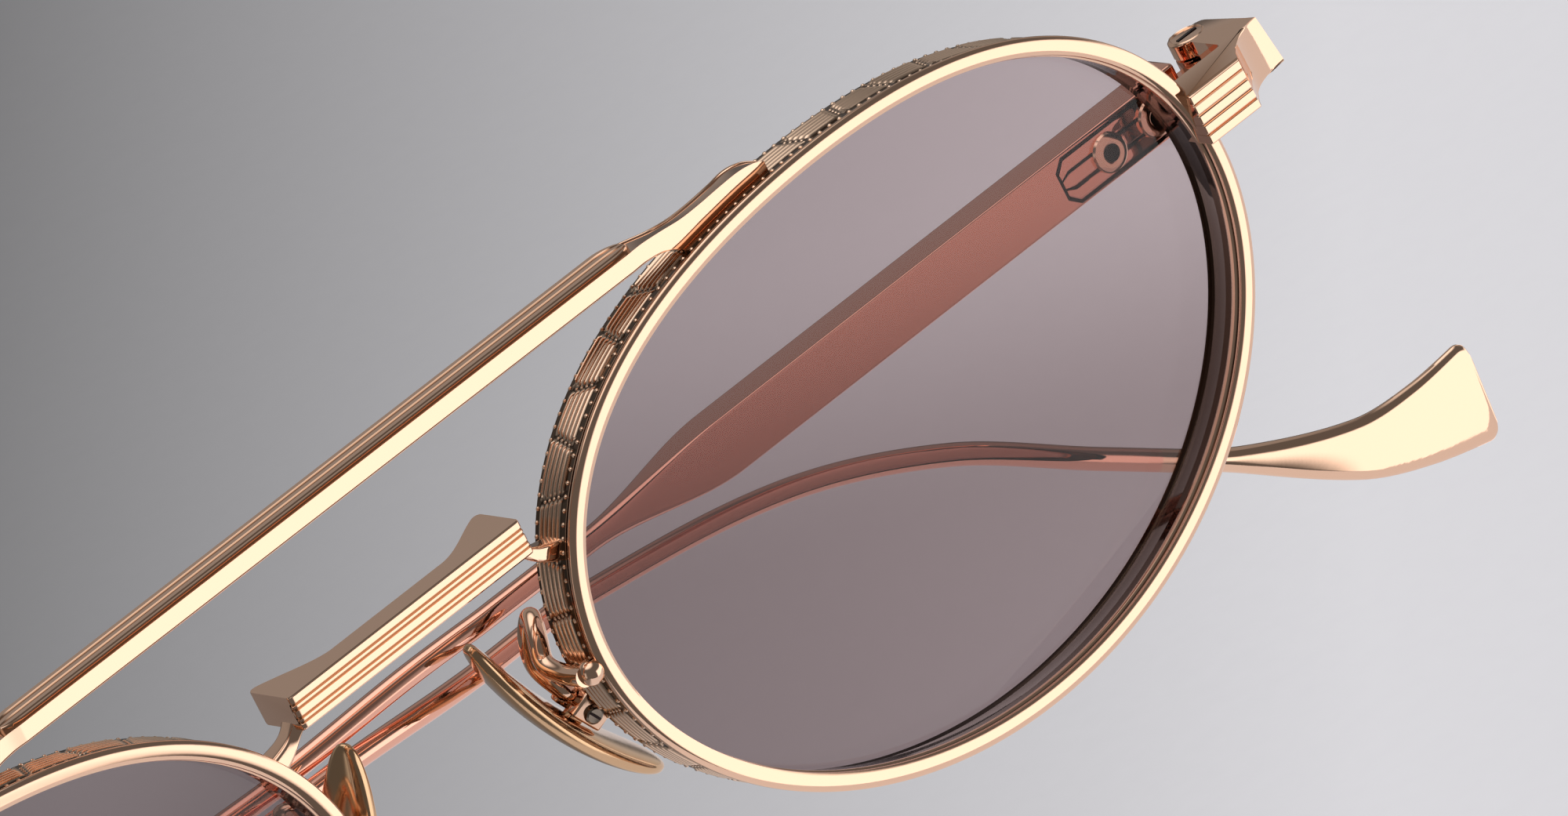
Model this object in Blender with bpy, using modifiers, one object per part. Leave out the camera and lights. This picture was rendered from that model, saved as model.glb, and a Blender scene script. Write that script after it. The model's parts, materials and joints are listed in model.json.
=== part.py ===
"""Folded wire sunglasses with oval lenses, a straight brow bar and a fluted bridge.

Every separate metal or lens piece is its own object, in metres, +Z up. The front faces -Y, and
+X is the wearer's left. X = 0 is the middle plane, Z = 0 is the height of the lens centres, and
Y = 0 is the front crest of the rims at the lens centres. The temples are folded behind the lenses.
"""

import math

import bmesh
import bpy
from mathutils import Matrix, Vector

MM = 0.001

# Clearances
SEAT_GAP = 0.3 * MM  # between two pieces that are soldered or screwed together
RUN_GAP = 0.15 * MM  # between the moving leaves of a hinge
HOLE_GAP = 0.12 * MM  # around the shank of a screw
FOLD_GAP = 0.77 * MM  # between the back of a rim and a folded temple

# Oval of a rim, measured on the crest of its bezel
NOSE_HALF = 9.3 * MM  # middle plane to the nose side of each crest
OVAL_HALF_WIDTH = 24.9 * MM
OVAL_HALF_HEIGHT = 17.36 * MM
OVAL_EGG = 0.56 * MM  # three-lobed swelling that flattens the top
OVAL_LEAN = -0.06 * MM  # the same swelling, leaning outwards
OVAL_CORNERS = -0.12 * MM  # four-lobed swelling
WRAP = math.radians(3.3)  # the outer edge of each rim goes back
OVAL_STEPS = 64

# Section of a rim
BEZEL_IN = 0.55 * MM  # crest to inner lip
BEZEL_OUT = 0.50 * MM  # crest to outer lip
BEZEL_FALL_IN = 0.08 * MM  # how far each lip lies behind the crest
BEZEL_FALL_OUT = 0.13 * MM
BEZEL_THICK = 0.62 * MM
BEAD_GROOVE = 0.35 * MM  # groove between bezel and side band
BEAD_FLOOR = 0.15 * MM  # crest to the floor of that groove
BAND_OUT = 0.30 * MM  # crest to engraved side band
WALL_IN = 0.40 * MM  # crest to inner wall
RIM_DEPTH = 3.80 * MM
V_DEPTH = 2.30 * MM  # crest to the middle of the lens groove
V_HALF = 0.35 * MM
V_BITE = 0.45 * MM
V_GAP = 0.05 * MM  # between the groove and the lens's bevel

# Lens
LENS_THICK = 1.60 * MM
LENS_SAG = 1.20 * MM  # crown of both faces
LENS_RINGS = 4
LENS_EDGE_GAP = 0.25 * MM

# Brow bar
BAR_STRAIGHT = 23.3 * MM  # half length of the straight stretch
BAR_LAND_INSET = 0.8 * MM  # end of the wing to the lens centre
BAR_RISE = 1.29 * MM  # top of the bar above the half height of the oval
BAR_HEIGHT = 1.25 * MM
BAR_FRONT = 0.5 * MM
BAR_DEPTH = 2.8 * MM
BAR_EDGE = 0.2 * MM
WING_DROP = 1.05 * MM  # fall of the top towards the wing's end
WING_SKIRT = 1.05 * MM  # fall of the lower edge where the bar meets the rim
WING_SWEEP = 1.8 * MM  # how far the front goes back
WING_SPREAD = 0.7 * MM  # how far the back goes back
WING_STATIONS = (0.0, 0.1, 0.2, 0.3, 0.45, 0.6, 0.8, 1.0)

# Fluted bridge
BRIDGE_HALF = 8.63 * MM
BRIDGE_TOP = 10.80 * MM
BRIDGE_HEIGHT = 2.10 * MM
BRIDGE_FRONT = -1.1 * MM
BRIDGE_WAIST = 1.8 * MM  # depth at the middle plane
BRIDGE_ENDS = 4.3 * MM  # depth at the ends
BRIDGE_WAIST_HALF = 4.2 * MM
BRIDGE_CORNER = 0.5 * MM
BRIDGE_GROOVES = (0.52 * MM, 0.83 * MM, 1.36 * MM, 1.65 * MM)  # below the top
GROOVE_RADIUS = 0.09 * MM
GROOVE_PROUD = 0.02 * MM  # middle of each groove in front of the face it cuts
BRACKET_HEIGHT = 1.3 * MM
BRACKET_DEPTH = 1.9 * MM
BRACKET_LAP = 0.9 * MM  # how far a bracket goes into the plate
BRACKET_INSET = 0.9 * MM  # back of the plate's end to the back of the bracket
BRACKET_LIFT = 0.1 * MM  # underside of the plate to the underside of the bracket

# End piece, from the outermost point of the rim's crest
END_LAP = 0.80 * MM  # how far it laps over the bezel
END_FRONT_Y = 0.60 * MM
END_FLUTED = 3.8 * MM  # width of the fluted front
END_WIDTH = 7.0 * MM  # rim's crest to the outer side
END_BLOCK_Y = 3.86 * MM  # front of the outer corner block
END_COVE = 0.6  # hollow of the sweep from the fluted front out to the block: 0 full, 1 hollow
END_WALL = 1.55 * MM
END_SHOULDER = 3.1 * MM  # thickness of the front, front to slot
END_TOP = 5.3 * MM
END_HEIGHT = 3.2 * MM
END_RIDGES = 5
END_CHEEK = 0.5 * MM  # outer wall past the hinge axis
END_SLOT_EASE = 0.15 * MM  # slope of the slot's wall

# Hinge
HINGE_OUTSET = 4.7 * MM  # rim's crest to the hinge axis
HINGE_BACKSET = 1.6 * MM  # inner face of the folded temple to the hinge axis
KNUCKLE_RADIUS = 1.20 * MM
MIDDLE_KNUCKLE = 1.0 * MM
KNUCKLE_EASE = 0.02 * MM  # the middle knuckle is smaller than the outer ones by this
SWING_REACH = 4.0 * MM  # room beside the hinge for the swinging leaf
HINGE_SCREW_RADIUS = 0.45 * MM
HINGE_HEAD_RADIUS = 0.85 * MM
HINGE_HEAD = 0.35 * MM
HINGE_HEAD_SUNK = 0.08 * MM
HINGE_SCREW_SHORT = 0.15 * MM
SOCKET_RADIUS = 0.32 * MM
SOCKET_DEPTH = 0.12 * MM
FOLDED_SLOPE_LEFT = 0.004  # rise of each folded temple along its length
FOLDED_SLOPE_RIGHT = -0.028
OPEN_SLOPE_LEFT = 0.024  # rise of each opened temple along its length
OPEN_SLOPE_RIGHT = -0.024

# Hinge leaf and its two ring-headed screws, along the temple from the hinge axis
LEAF_TIP = 12.4 * MM
LEAF_BEVEL = 1.1 * MM
LEAF_HEIGHT = 2.7 * MM
LEAF_THICK = 0.8 * MM
LEAF_NECK = 3.9 * MM
NECK_LAP = 0.8 * MM  # how far the neck runs into the leaf
POCKET_GAP = 0.15 * MM  # between the leaf and its pocket in the temple
LEAF_SCREWS = (5.45 * MM, 9.0 * MM)
LEAF_HEAD_RADIUS = 1.1 * MM
LEAF_HEAD_HEIGHT = 0.35 * MM
LEAF_HEAD_BEVEL = 0.2 * MM
LEAF_SOCKET_FLOOR = 0.1 * MM
LEAF_SOCKET_RADIUS = 0.5 * MM
LEAF_SHANK_RADIUS = 0.40 * MM
LEAF_SHANK = 1.55 * MM

# Temple, along its length from the hinge axis
BLADE_START = 2.5 * MM
TAPER_START = 38.0 * MM
TAPER_END = 48.0 * MM
BLADE_HEIGHT = 3.35 * MM
BLADE_THICK = 2.5 * MM
BLADE_DROP = 0.18 * MM  # middle of the blade below the middle of the hinge
BLADE_EDGE = 0.18 * MM
ROD_RADIUS = 0.675 * MM
BOW_START = 56.0 * MM
BOW_RUN = 22.0 * MM
BOW = 2.2 * MM  # the rod steps out by this, to pass behind the other blade
PADDLE_START = 118.0 * MM
PADDLE_SOFT = 0.1  # share of the paddle over which it begins to widen
PADDLE_END = 135.6 * MM
PADDLE_HEIGHT = 6.3 * MM
PADDLE_THICK = 1.2 * MM
ROD_STEP = 2.0 * MM
# Height of the rod's middle above the lens centres at points along it, before its slope is added
EAR_BEND = (
    (48.0 * MM, 3.52 * MM),
    (60.0 * MM, 3.42 * MM),
    (70.0 * MM, 2.75 * MM),
    (80.0 * MM, 2.45 * MM),
    (93.0 * MM, 0.45 * MM),
    (103.0 * MM, -3.6 * MM),
    (111.6 * MM, -9.4 * MM),
    (119.0 * MM, -14.2 * MM),
    (126.0 * MM, -17.9 * MM),
    (130.5 * MM, -19.0 * MM),
    (136.0 * MM, -19.4 * MM),
)

# Nose pad: middle of its nose face, and the directions of its length and width
PAD_X = 7.75 * MM
PAD_Y = 4.9 * MM
PAD_Z = -2.56 * MM
PAD_LENGTH_WAY = Vector((0.52, 0.13, -0.85)).normalized()
PAD_DEPTH_WAY = Vector((0.2, 0.94, 0.26)).normalized()
PAD_LENGTH = 15.8 * MM
PAD_WIDTH = 4.8 * MM
PAD_THICK = 0.9 * MM
PAD_CROWN = 1.2 * MM
PAD_TOP_TAPER = 0.25

# Pad box, its screw, and the wire arm that carries it
BOX_LENGTH = 2.2 * MM
BOX_WIDTH = 2.6 * MM
BOX_DEPTH = 1.8 * MM
BOX_WALL = 0.45 * MM
BOX_OUT = 1.9 * MM  # pad face to the middle of the box
BOX_DOWN = 1.0 * MM  # middle of the pad to the middle of the box
TAB_WIDTH = 0.8 * MM
PAD_SCREW_RADIUS = 0.25 * MM
PAD_SCREW_DROP = 0.2 * MM  # middle of the box to the screw, towards the pad
PAD_SCREW_HEAD = 0.55 * MM
PAD_SCREW_HEAD_HEIGHT = 0.3 * MM
ARM_RADIUS = 0.58 * MM
ARM_BALL = 0.75 * MM
ARM_STUB = 0.7 * MM  # straight end of the wire above the box
# Bends of the left arm wire, from the rim's side to the top of its loop and down to the pad box
ARM_BENDS = (
    (7.90 * MM, -0.90 * MM, 0.95 * MM),
    (7.90 * MM, 1.10 * MM, 0.95 * MM),
    (7.95 * MM, 2.70 * MM, 1.45 * MM),
    (8.60 * MM, 3.40 * MM, 2.60 * MM),
    (9.30 * MM, 4.30 * MM, 3.25 * MM),
    (9.50 * MM, 5.05 * MM, 3.00 * MM),
    (9.05 * MM, 5.40 * MM, 1.90 * MM),
    (8.75 * MM, 5.35 * MM, 0.40 * MM),
)

# Rim screw, from below, through the front of the end piece
RIM_SCREW_RADIUS = 0.35 * MM
RIM_SCREW_HEAD = 0.7 * MM
RIM_SCREW_HEAD_HEIGHT = 0.28 * MM
RIM_SCREW_SUNK = 0.05 * MM
RIM_SCREW_LENGTH = 2.2 * MM
RIM_SCREW_INSET = 1.9 * MM

# Sizes that follow from the ones above
LENS_CENTRE_X = NOSE_HALF + OVAL_HALF_WIDTH
BAR_LAND = LENS_CENTRE_X - BAR_LAND_INSET
BAR_TOP = OVAL_HALF_HEIGHT + BAR_RISE
PAD_CENTRE = Vector((PAD_X, PAD_Y, PAD_Z))
RIM_SIDE_X = LENS_CENTRE_X + OVAL_HALF_WIDTH
RIM_BACK_Y = RIM_DEPTH + OVAL_HALF_WIDTH * math.sin(WRAP)
BLADE_Y = RIM_BACK_Y + FOLD_GAP
HINGE_X = RIM_SIDE_X + HINGE_OUTSET
HINGE_Y = BLADE_Y + HINGE_BACKSET
HINGE_Z = END_TOP - END_HEIGHT / 2
ROD_Y = BLADE_Y + BLADE_THICK / 2
PAD_OUT_WAY = PAD_LENGTH_WAY.cross(PAD_DEPTH_WAY).normalized()
BOX_CENTRE = PAD_CENTRE + PAD_OUT_WAY * BOX_OUT + PAD_LENGTH_WAY * BOX_DOWN

GOLD = ("rose_gold", (0.80, 0.50, 0.34), 0.16, 1.0)
ANTIQUE = ("antique_gold", (0.42, 0.29, 0.15), 0.34, 1.0)
TINT = ("mauve_lens", (0.42, 0.35, 0.37), 0.05, 0.0)
STEEL = ("dark_steel", (0.22, 0.17, 0.13), 0.35, 1.0)


def clear_scene():
    for old in list(bpy.data.objects):
        bpy.data.objects.remove(old, do_unlink=True)


def new_collection(name):
    made = bpy.data.collections.new(name)
    bpy.context.scene.collection.children.link(made)
    return made


def material(finish):
    name, colour, roughness, metallic = finish
    found = bpy.data.materials.get(name)
    if found:
        return found
    made = bpy.data.materials.new(name)
    made.use_nodes = True
    shader = made.node_tree.nodes["Principled BSDF"]
    shader.inputs["Base Color"].default_value = (*colour, 1.0)
    shader.inputs["Roughness"].default_value = roughness
    shader.inputs["Metallic"].default_value = metallic
    return made


def add_object(name, data, collection, finish=None):
    made = bpy.data.objects.new(name, data)
    collection.objects.link(made)
    if finish:
        data.materials.append(material(finish))
    return made


def as_cutter(shape):
    shape.hide_render = True
    shape.display_type = "WIRE"
    return shape


def smooth(mesh, degrees=35):
    mesh.shade_smooth()
    mesh.set_sharp_from_angle(angle=math.radians(degrees))


def mesh_from(name, build):
    """A mesh made by build(bm), with its faces turned outwards."""
    bm = bmesh.new()
    build(bm)
    bmesh.ops.recalc_face_normals(bm, faces=bm.faces)
    mesh = bpy.data.meshes.new(name)
    bm.to_mesh(mesh)
    bm.free()
    return mesh


def loft_mesh(name, rings):
    """A closed skin over rings that have the same number of points."""

    def build(bm):
        rows = [[bm.verts.new(point) for point in ring] for ring in rings]
        count = len(rows[0])
        for near, far in zip(rows, rows[1:]):
            for i in range(count):
                j = (i + 1) % count
                bm.faces.new((near[i], near[j], far[j], far[i]))
        bm.faces.new(rows[0])
        bm.faces.new(rows[-1])

    return mesh_from(name, build)


def box_mesh(name, size, centre=(0, 0, 0)):
    def build(bm):
        bmesh.ops.create_cube(bm, size=1.0)
        bmesh.ops.scale(bm, vec=size, verts=bm.verts)
        bmesh.ops.translate(bm, vec=centre, verts=bm.verts)

    return mesh_from(name, build)


def turned_mesh(name, steps, segments=20):
    """A solid of revolution about Z from (radius, height) steps, each held as a straight cylinder."""

    def build(bm):
        for radius, low, high in steps:
            place = Matrix.Translation((0, 0, (low + high) / 2))
            bmesh.ops.create_cone(
                bm, cap_ends=True, segments=segments, radius1=radius, radius2=radius,
                depth=high - low, matrix=place,
            )

    return mesh_from(name, build)


def screw_profile(name, profile, collection, finish, segments=20):
    """A turned piece: a profile of (radius, height) from the top of its axis to the bottom."""
    mesh = bpy.data.meshes.new(name)
    points = [(radius, 0, height) for radius, height in profile]
    mesh.from_pydata(points, [(i, i + 1) for i in range(len(points) - 1)], [])
    turned = add_object(name, mesh, collection, finish)
    spin = turned.modifiers.new("turn", "SCREW")
    spin.steps = segments
    spin.render_steps = segments
    spin.use_merge_vertices = True
    spin.merge_threshold = 0.00001
    spin.use_smooth_shade = False
    return turned


def boolean(target, cutter, operation="DIFFERENCE"):
    made = target.modifiers.new(operation.lower() + "_" + cutter.name, "BOOLEAN")
    made.operation = operation
    made.object = cutter
    made.solver = "EXACT"


def axes_matrix(origin, x_way, y_way, z_way):
    turn = Matrix((x_way, y_way, z_way)).transposed().to_4x4()
    return Matrix.Translation(origin) @ turn


def through(points, position):
    """Smooth curve through points of (position, value)."""
    for i in range(len(points) - 2):
        if position < points[i + 1][0]:
            break
    else:
        i = len(points) - 2
    (x1, y1), (x2, y2) = points[i], points[i + 1]
    x0, y0 = points[i - 1] if i else (2 * x1 - x2, 2 * y1 - y2)
    x3, y3 = points[i + 2] if i + 2 < len(points) else (2 * x2 - x1, 2 * y2 - y1)
    slope1 = (y2 - y0) / (x2 - x0)
    slope2 = (y3 - y1) / (x3 - x1)
    run = x2 - x1
    t = (position - x1) / run
    return (
        (2 * t**3 - 3 * t**2 + 1) * y1
        + (t**3 - 2 * t**2 + t) * run * slope1
        + (3 * t**2 - 2 * t**3) * y2
        + (t**3 - t**2) * run * slope2
    )


def ease(position, start, run):
    t = min(max((position - start) / run, 0), 1)
    return t * t * (3 - 2 * t)


def oval_point(angle, outwards=0.0):
    """A point of the left rim's oval, as (across, up) from the lens centre."""
    across = OVAL_HALF_WIDTH * math.cos(angle)
    up = OVAL_HALF_HEIGHT * math.sin(angle)
    normal = Vector((math.cos(angle) / OVAL_HALF_WIDTH, math.sin(angle) / OVAL_HALF_HEIGHT)).normalized()
    swell = (
        OVAL_EGG * math.sin(3 * angle)
        + OVAL_LEAN * math.cos(3 * angle)
        + OVAL_CORNERS * math.cos(4 * angle)
        + outwards
    )
    return across + swell * normal.x, up + swell * normal.y


def oval(side, outwards=0.0, steps=OVAL_STEPS):
    turn = [2 * math.pi * i / steps for i in range(steps)]
    return [(side * across, up) for across, up in (oval_point(a, outwards) for a in turn)]


def rim_frame(side):
    """Local X and Y lie in the plane of the rim, and local Z points forward out of it."""
    return (
        Matrix.Translation((side * LENS_CENTRE_X, 0, 0))
        @ Matrix.Rotation(side * WRAP, 4, "Z")
        @ Matrix.Rotation(math.pi / 2, 4, "X")
    )


def poly_curve(name, points):
    """A flat closed curve through (x, y) points."""
    curve = bpy.data.curves.new(name, "CURVE")
    curve.dimensions = "2D"
    curve.fill_mode = "NONE"
    spline = curve.splines.new("POLY")
    spline.points.add(len(points) - 1)
    for point, (x, y) in zip(spline.points, points):
        point.co = (x, y, 0, 1)
    spline.use_cyclic_u = True
    return curve


def curve_mesh(name, curve, merge=0.001 * MM):
    """The closed mesh of a filled or bevelled curve, its points merged and its faces turned outwards."""
    holder = bpy.data.objects.new(name, curve)
    bpy.context.scene.collection.objects.link(holder)
    bpy.context.view_layer.update()
    graph = bpy.context.evaluated_depsgraph_get()
    mesh = bpy.data.meshes.new_from_object(holder.evaluated_get(graph))
    bpy.data.objects.remove(holder)
    bm = bmesh.new()
    bm.from_mesh(mesh)
    bmesh.ops.remove_doubles(bm, verts=bm.verts, dist=merge)
    bmesh.ops.recalc_face_normals(bm, faces=bm.faces)
    bm.to_mesh(mesh)
    bm.free()
    mesh.materials.clear()
    return mesh


def plate_mesh(name, outline, low, high):
    """A flat outline extruded from low to high along Z."""
    curve = poly_curve(name, outline)
    curve.fill_mode = "BOTH"
    curve.extrude = (high - low) / 2
    mesh = curve_mesh(name, curve, 0.01 * MM)
    mesh.transform(Matrix.Translation((0, 0, (low + high) / 2)))
    return mesh


def build_rim_profile(cutters):
    """Section of the rims, as (outwards from the crest, forward); the curve sweeps it with X inwards."""
    lip = BEZEL_THICK + BEAD_GROOVE
    points = [
        (-BEZEL_IN, -BEZEL_FALL_IN),
        (0.0, 0.0),
        (BEZEL_OUT, -BEZEL_FALL_OUT),
        (BEZEL_OUT, -BEZEL_THICK),
        (BEAD_FLOOR, -BEZEL_THICK),
        (BEAD_FLOOR, -lip),
        (BAND_OUT, -lip),
        (BAND_OUT, -RIM_DEPTH),
        (-WALL_IN, -RIM_DEPTH),
        (-WALL_IN, -V_DEPTH - V_HALF),
        (V_BITE - WALL_IN, -V_DEPTH),
        (-WALL_IN, -V_DEPTH + V_HALF),
        (-WALL_IN, -lip),
        (-BEZEL_IN, -BEZEL_THICK),
    ]
    section = poly_curve("rim_section", [(-outwards, forward) for outwards, forward in points])
    profile = add_object("rim_section", section, cutters)
    return as_cutter(profile)


def build_rim(name, side, profile, parts):
    curve = poly_curve(name, oval(side))
    curve.bevel_mode = "OBJECT"
    curve.bevel_object = profile
    mesh = curve_mesh(name + "_path", curve)
    rim = add_object(name, mesh, parts, GOLD)
    mesh.materials.append(material(ANTIQUE))
    smooth(mesh)
    rim.matrix_world = rim_frame(side)
    return rim


def build_lens(name, side, parts):
    """Crowned plastic lens with a bevelled edge that sits in the rim's groove."""
    body = -WALL_IN - LENS_EDGE_GAP
    front = -V_DEPTH + LENS_THICK / 2
    back = front - LENS_THICK
    shell = oval(side, body)

    def crowned(height, share):
        lift = LENS_SAG * (1 - share * share)
        return [(x * share, y * share, height + lift) for x, y in shell]

    shares = [(i + 1) / LENS_RINGS for i in range(LENS_RINGS)]
    tip = oval(side, body + V_BITE - V_GAP)
    bevel = V_HALF - V_GAP
    rings = [crowned(front, share) for share in shares]
    rings.append([(x, y, -V_DEPTH + bevel) for x, y in shell])
    rings.append([(x, y, -V_DEPTH) for x, y in tip])
    rings.append([(x, y, -V_DEPTH - bevel) for x, y in shell])
    rings += [crowned(back, share) for share in reversed(shares)]
    mesh = loft_mesh(name, rings)
    lens = add_object(name, mesh, parts, TINT)
    smooth(mesh)
    lens.matrix_world = rim_frame(side)
    return lens


def build_rim_envelope(name, side, cutters):
    """The space that a rim fills, with a seat's gap around it, which pieces soldered to it are cut by."""
    step = -BEZEL_THICK - SEAT_GAP
    levels = (
        (BEZEL_OUT + SEAT_GAP, SEAT_GAP),
        (BEZEL_OUT + SEAT_GAP, step),
        (BAND_OUT + SEAT_GAP, step),
        (BAND_OUT + SEAT_GAP, -RIM_DEPTH - SEAT_GAP),
    )
    rings = [[(x, y, level) for x, y in oval(side, outwards)] for outwards, level in levels]
    made = as_cutter(add_object(name, loft_mesh(name, rings), cutters))
    made.matrix_world = rim_frame(side)
    return made


def bar_section(x, bottom, top, front, back):
    edge = BAR_EDGE
    return [
        (x, front, bottom + edge), (x, front, top - edge), (x, front + edge, top), (x, back - edge, top),
        (x, back, top - edge), (x, back, bottom + edge), (x, back - edge, bottom), (x, front + edge, bottom),
    ]


def build_brow_bar(parts, envelopes):
    """Straight bar whose two ends open into wings that land on top of the rims."""
    half = []
    for share in WING_STATIONS:
        x = BAR_STRAIGHT + share * (BAR_LAND - BAR_STRAIGHT)
        top = BAR_TOP - WING_DROP * (1 - (1 - share) ** 2)
        bottom = BAR_TOP - BAR_HEIGHT - WING_SKIRT * ease(share, 0.1, 0.2)
        front = BAR_FRONT + WING_SWEEP * max(share - 0.1, 0) / 0.9
        back = BAR_FRONT + BAR_DEPTH + WING_SPREAD * ease(share, 0.4, 0.6)
        half.append(bar_section(x, bottom, top, front, back))
    mirrored = [[(-x, y, z) for x, y, z in ring] for ring in reversed(half)]
    mesh = loft_mesh("brow_bar", mirrored + half)
    bar = add_object("brow_bar", mesh, parts, GOLD)
    smooth(mesh)
    for envelope in envelopes:
        boolean(bar, envelope)
    return bar


def groove_cutter(name, half_length, rows, y, cutters, centre_x=0.0):
    """Round wires along X, one for each (height) in rows, that cut flutes into a front face."""

    def build(bm):
        for height in rows:
            middle = (centre_x, y - GROOVE_PROUD, height)
            lie = Matrix.Translation(middle) @ Matrix.Rotation(math.pi / 2, 4, "Y")
            bmesh.ops.create_cone(
                bm, cap_ends=True, segments=6, radius1=GROOVE_RADIUS, radius2=GROOVE_RADIUS,
                depth=2 * half_length, matrix=lie,
            )

    return as_cutter(add_object(name, mesh_from(name, build), cutters))


def build_bridge(parts, cutters, envelopes):
    """Fluted plate, waisted at the back, with a bracket at each end that reaches its rim."""
    steps = 12
    corner_x = BRIDGE_HALF - BRIDGE_CORNER
    corner_y = BRIDGE_FRONT + BRIDGE_ENDS - BRIDGE_CORNER
    outline = [(-BRIDGE_HALF, BRIDGE_FRONT), (BRIDGE_HALF, BRIDGE_FRONT), (BRIDGE_HALF, corner_y)]
    for i in range(steps + 1):
        x = corner_x * (1 - 2 * i / steps)
        flare = ease(abs(x), BRIDGE_WAIST_HALF, corner_x - BRIDGE_WAIST_HALF)
        outline.append((x, BRIDGE_FRONT + BRIDGE_WAIST + flare * (BRIDGE_ENDS - BRIDGE_WAIST)))
    outline.append((-BRIDGE_HALF, corner_y))
    bottom = BRIDGE_TOP - BRIDGE_HEIGHT
    mesh = plate_mesh("bridge", outline, bottom, BRIDGE_TOP)
    bridge = add_object("bridge", mesh, parts, GOLD)
    reach = LENS_CENTRE_X - OVAL_HALF_WIDTH / 2
    inner = BRIDGE_HALF - BRACKET_LAP
    middle_y = BRIDGE_FRONT + BRIDGE_ENDS - BRACKET_INSET - BRACKET_DEPTH / 2
    middle_z = bottom + BRACKET_LIFT + BRACKET_HEIGHT / 2
    size = (reach - inner, BRACKET_DEPTH, BRACKET_HEIGHT)
    for side, envelope in zip((1, -1), envelopes):
        centre = (side * (inner + reach) / 2, middle_y, middle_z)
        arm_mesh = box_mesh("bridge_bracket", size, centre)
        arm = as_cutter(add_object(f"bridge_bracket_{side}", arm_mesh, cutters))
        boolean(bridge, arm, "UNION")
        boolean(bridge, envelope)
    rows = [BRIDGE_TOP - drop for drop in BRIDGE_GROOVES]
    boolean(bridge, groove_cutter("bridge_flutes", BRIDGE_HALF + MM, rows, BRIDGE_FRONT, cutters))
    return bridge


def hinge_matrix(side):
    """Frame of a hinge: local Z is the axis, tilted so that the opened temples clear each other."""
    folded = FOLDED_SLOPE_LEFT if side > 0 else FOLDED_SLOPE_RIGHT
    opened = OPEN_SLOPE_LEFT if side > 0 else OPEN_SLOPE_RIGHT
    z_way = Vector((side * folded, -opened, 1)).normalized()
    y_way = z_way.cross(Vector((1, 0, 0))).normalized()
    x_way = y_way.cross(z_way)
    return axes_matrix((side * HINGE_X, HINGE_Y, HINGE_Z), x_way, y_way, z_way)


def build_end_piece(name, side, parts, cutters, envelope, hinge):
    """Soldered lug: fluted front, swept outer corner, and the outer knuckles of the hinge."""
    outer = RIM_SIDE_X + END_WIDTH
    inner = RIM_SIDE_X - END_LAP
    front_end = inner + END_FLUTED
    slot_y = END_FRONT_Y + END_SHOULDER
    outline = [(inner, slot_y), (inner, END_FRONT_Y), (front_end, END_FRONT_Y)]
    sweep = 5
    for i in range(1, sweep + 1):
        turn = 0.5 * math.pi * i / sweep
        run = END_COVE * (1 - math.cos(turn)) + (1 - END_COVE) * math.sin(turn)
        back = END_FRONT_Y + (END_BLOCK_Y - END_FRONT_Y) * math.sin(turn)
        outline.append((front_end + (outer - front_end) * run, back))
    outline.append((HINGE_X + END_WALL, HINGE_Y + END_CHEEK))
    around = 10
    for i in range(around + 1):
        turn = math.radians(40) + math.radians(200) * i / around
        outline.append((HINGE_X + KNUCKLE_RADIUS * math.cos(turn), HINGE_Y + KNUCKLE_RADIUS * math.sin(turn)))
    outline.append((HINGE_X - KNUCKLE_RADIUS / 2, slot_y + END_SLOT_EASE))
    bottom = END_TOP - END_HEIGHT
    mesh = plate_mesh(name, [(side * x, y) for x, y in outline], bottom, END_TOP)
    lug = add_object(name, mesh, parts, GOLD)
    boolean(lug, envelope)

    slot_half = MIDDLE_KNUCKLE / 2 + RUN_GAP
    sweep_radius = KNUCKLE_RADIUS + RUN_GAP
    slot = turned_mesh(name + "_slot", [(sweep_radius, -slot_half, slot_half)], 24)
    aside = (SWING_REACH, 2 * sweep_radius, 2 * slot_half)
    behind = (2 * sweep_radius, SWING_REACH, 2 * slot_half)
    reach = box_mesh(name + "_reach", aside, (-side * SWING_REACH / 2, 0, 0))
    swing = box_mesh(name + "_swing", behind, (0, SWING_REACH / 2, 0))
    for tool_mesh in (slot, reach, swing):
        tool = as_cutter(add_object(tool_mesh.name, tool_mesh, cutters))
        tool.parent = hinge
        boolean(lug, tool)

    half = END_HEIGHT / 2
    bore = turned_mesh(name + "_bore", [(HINGE_SCREW_RADIUS + HOLE_GAP, -half - MM, half + MM)])
    head = turned_mesh(name + "_sink", [(HINGE_HEAD_RADIUS + HOLE_GAP, half - HINGE_HEAD - HOLE_GAP, half + MM)])
    for tool_mesh in (bore, head):
        tool = as_cutter(add_object(tool_mesh.name, tool_mesh, cutters))
        tool.parent = hinge
        boolean(lug, tool)

    pitch = END_HEIGHT / END_RIDGES
    rows = [END_TOP - pitch * (i + 1) for i in range(END_RIDGES - 1)]
    middle = side * (inner + front_end) / 2
    flutes = groove_cutter(name + "_flutes", END_FLUTED / 2 + 1.5 * MM, rows, END_FRONT_Y, cutters, middle)
    boolean(lug, flutes)

    hole_top = RIM_SCREW_LENGTH + HOLE_GAP
    sink_top = RIM_SCREW_SUNK + RIM_SCREW_HEAD_HEIGHT + HOLE_GAP
    hole = turned_mesh(name + "_screw_hole", [(RIM_SCREW_RADIUS + HOLE_GAP, -MM, hole_top)], 12)
    sink = turned_mesh(name + "_screw_sink", [(RIM_SCREW_HEAD + HOLE_GAP, -MM, sink_top)], 16)
    for tool_mesh in (hole, sink):
        tool = as_cutter(add_object(tool_mesh.name, tool_mesh, cutters))
        tool.location = (side * (RIM_SIDE_X + RIM_SCREW_INSET), rim_screw_y(), bottom)
        boolean(lug, tool)
    return lug


def rim_screw_y():
    return END_FRONT_Y + END_SHOULDER / 2


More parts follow.
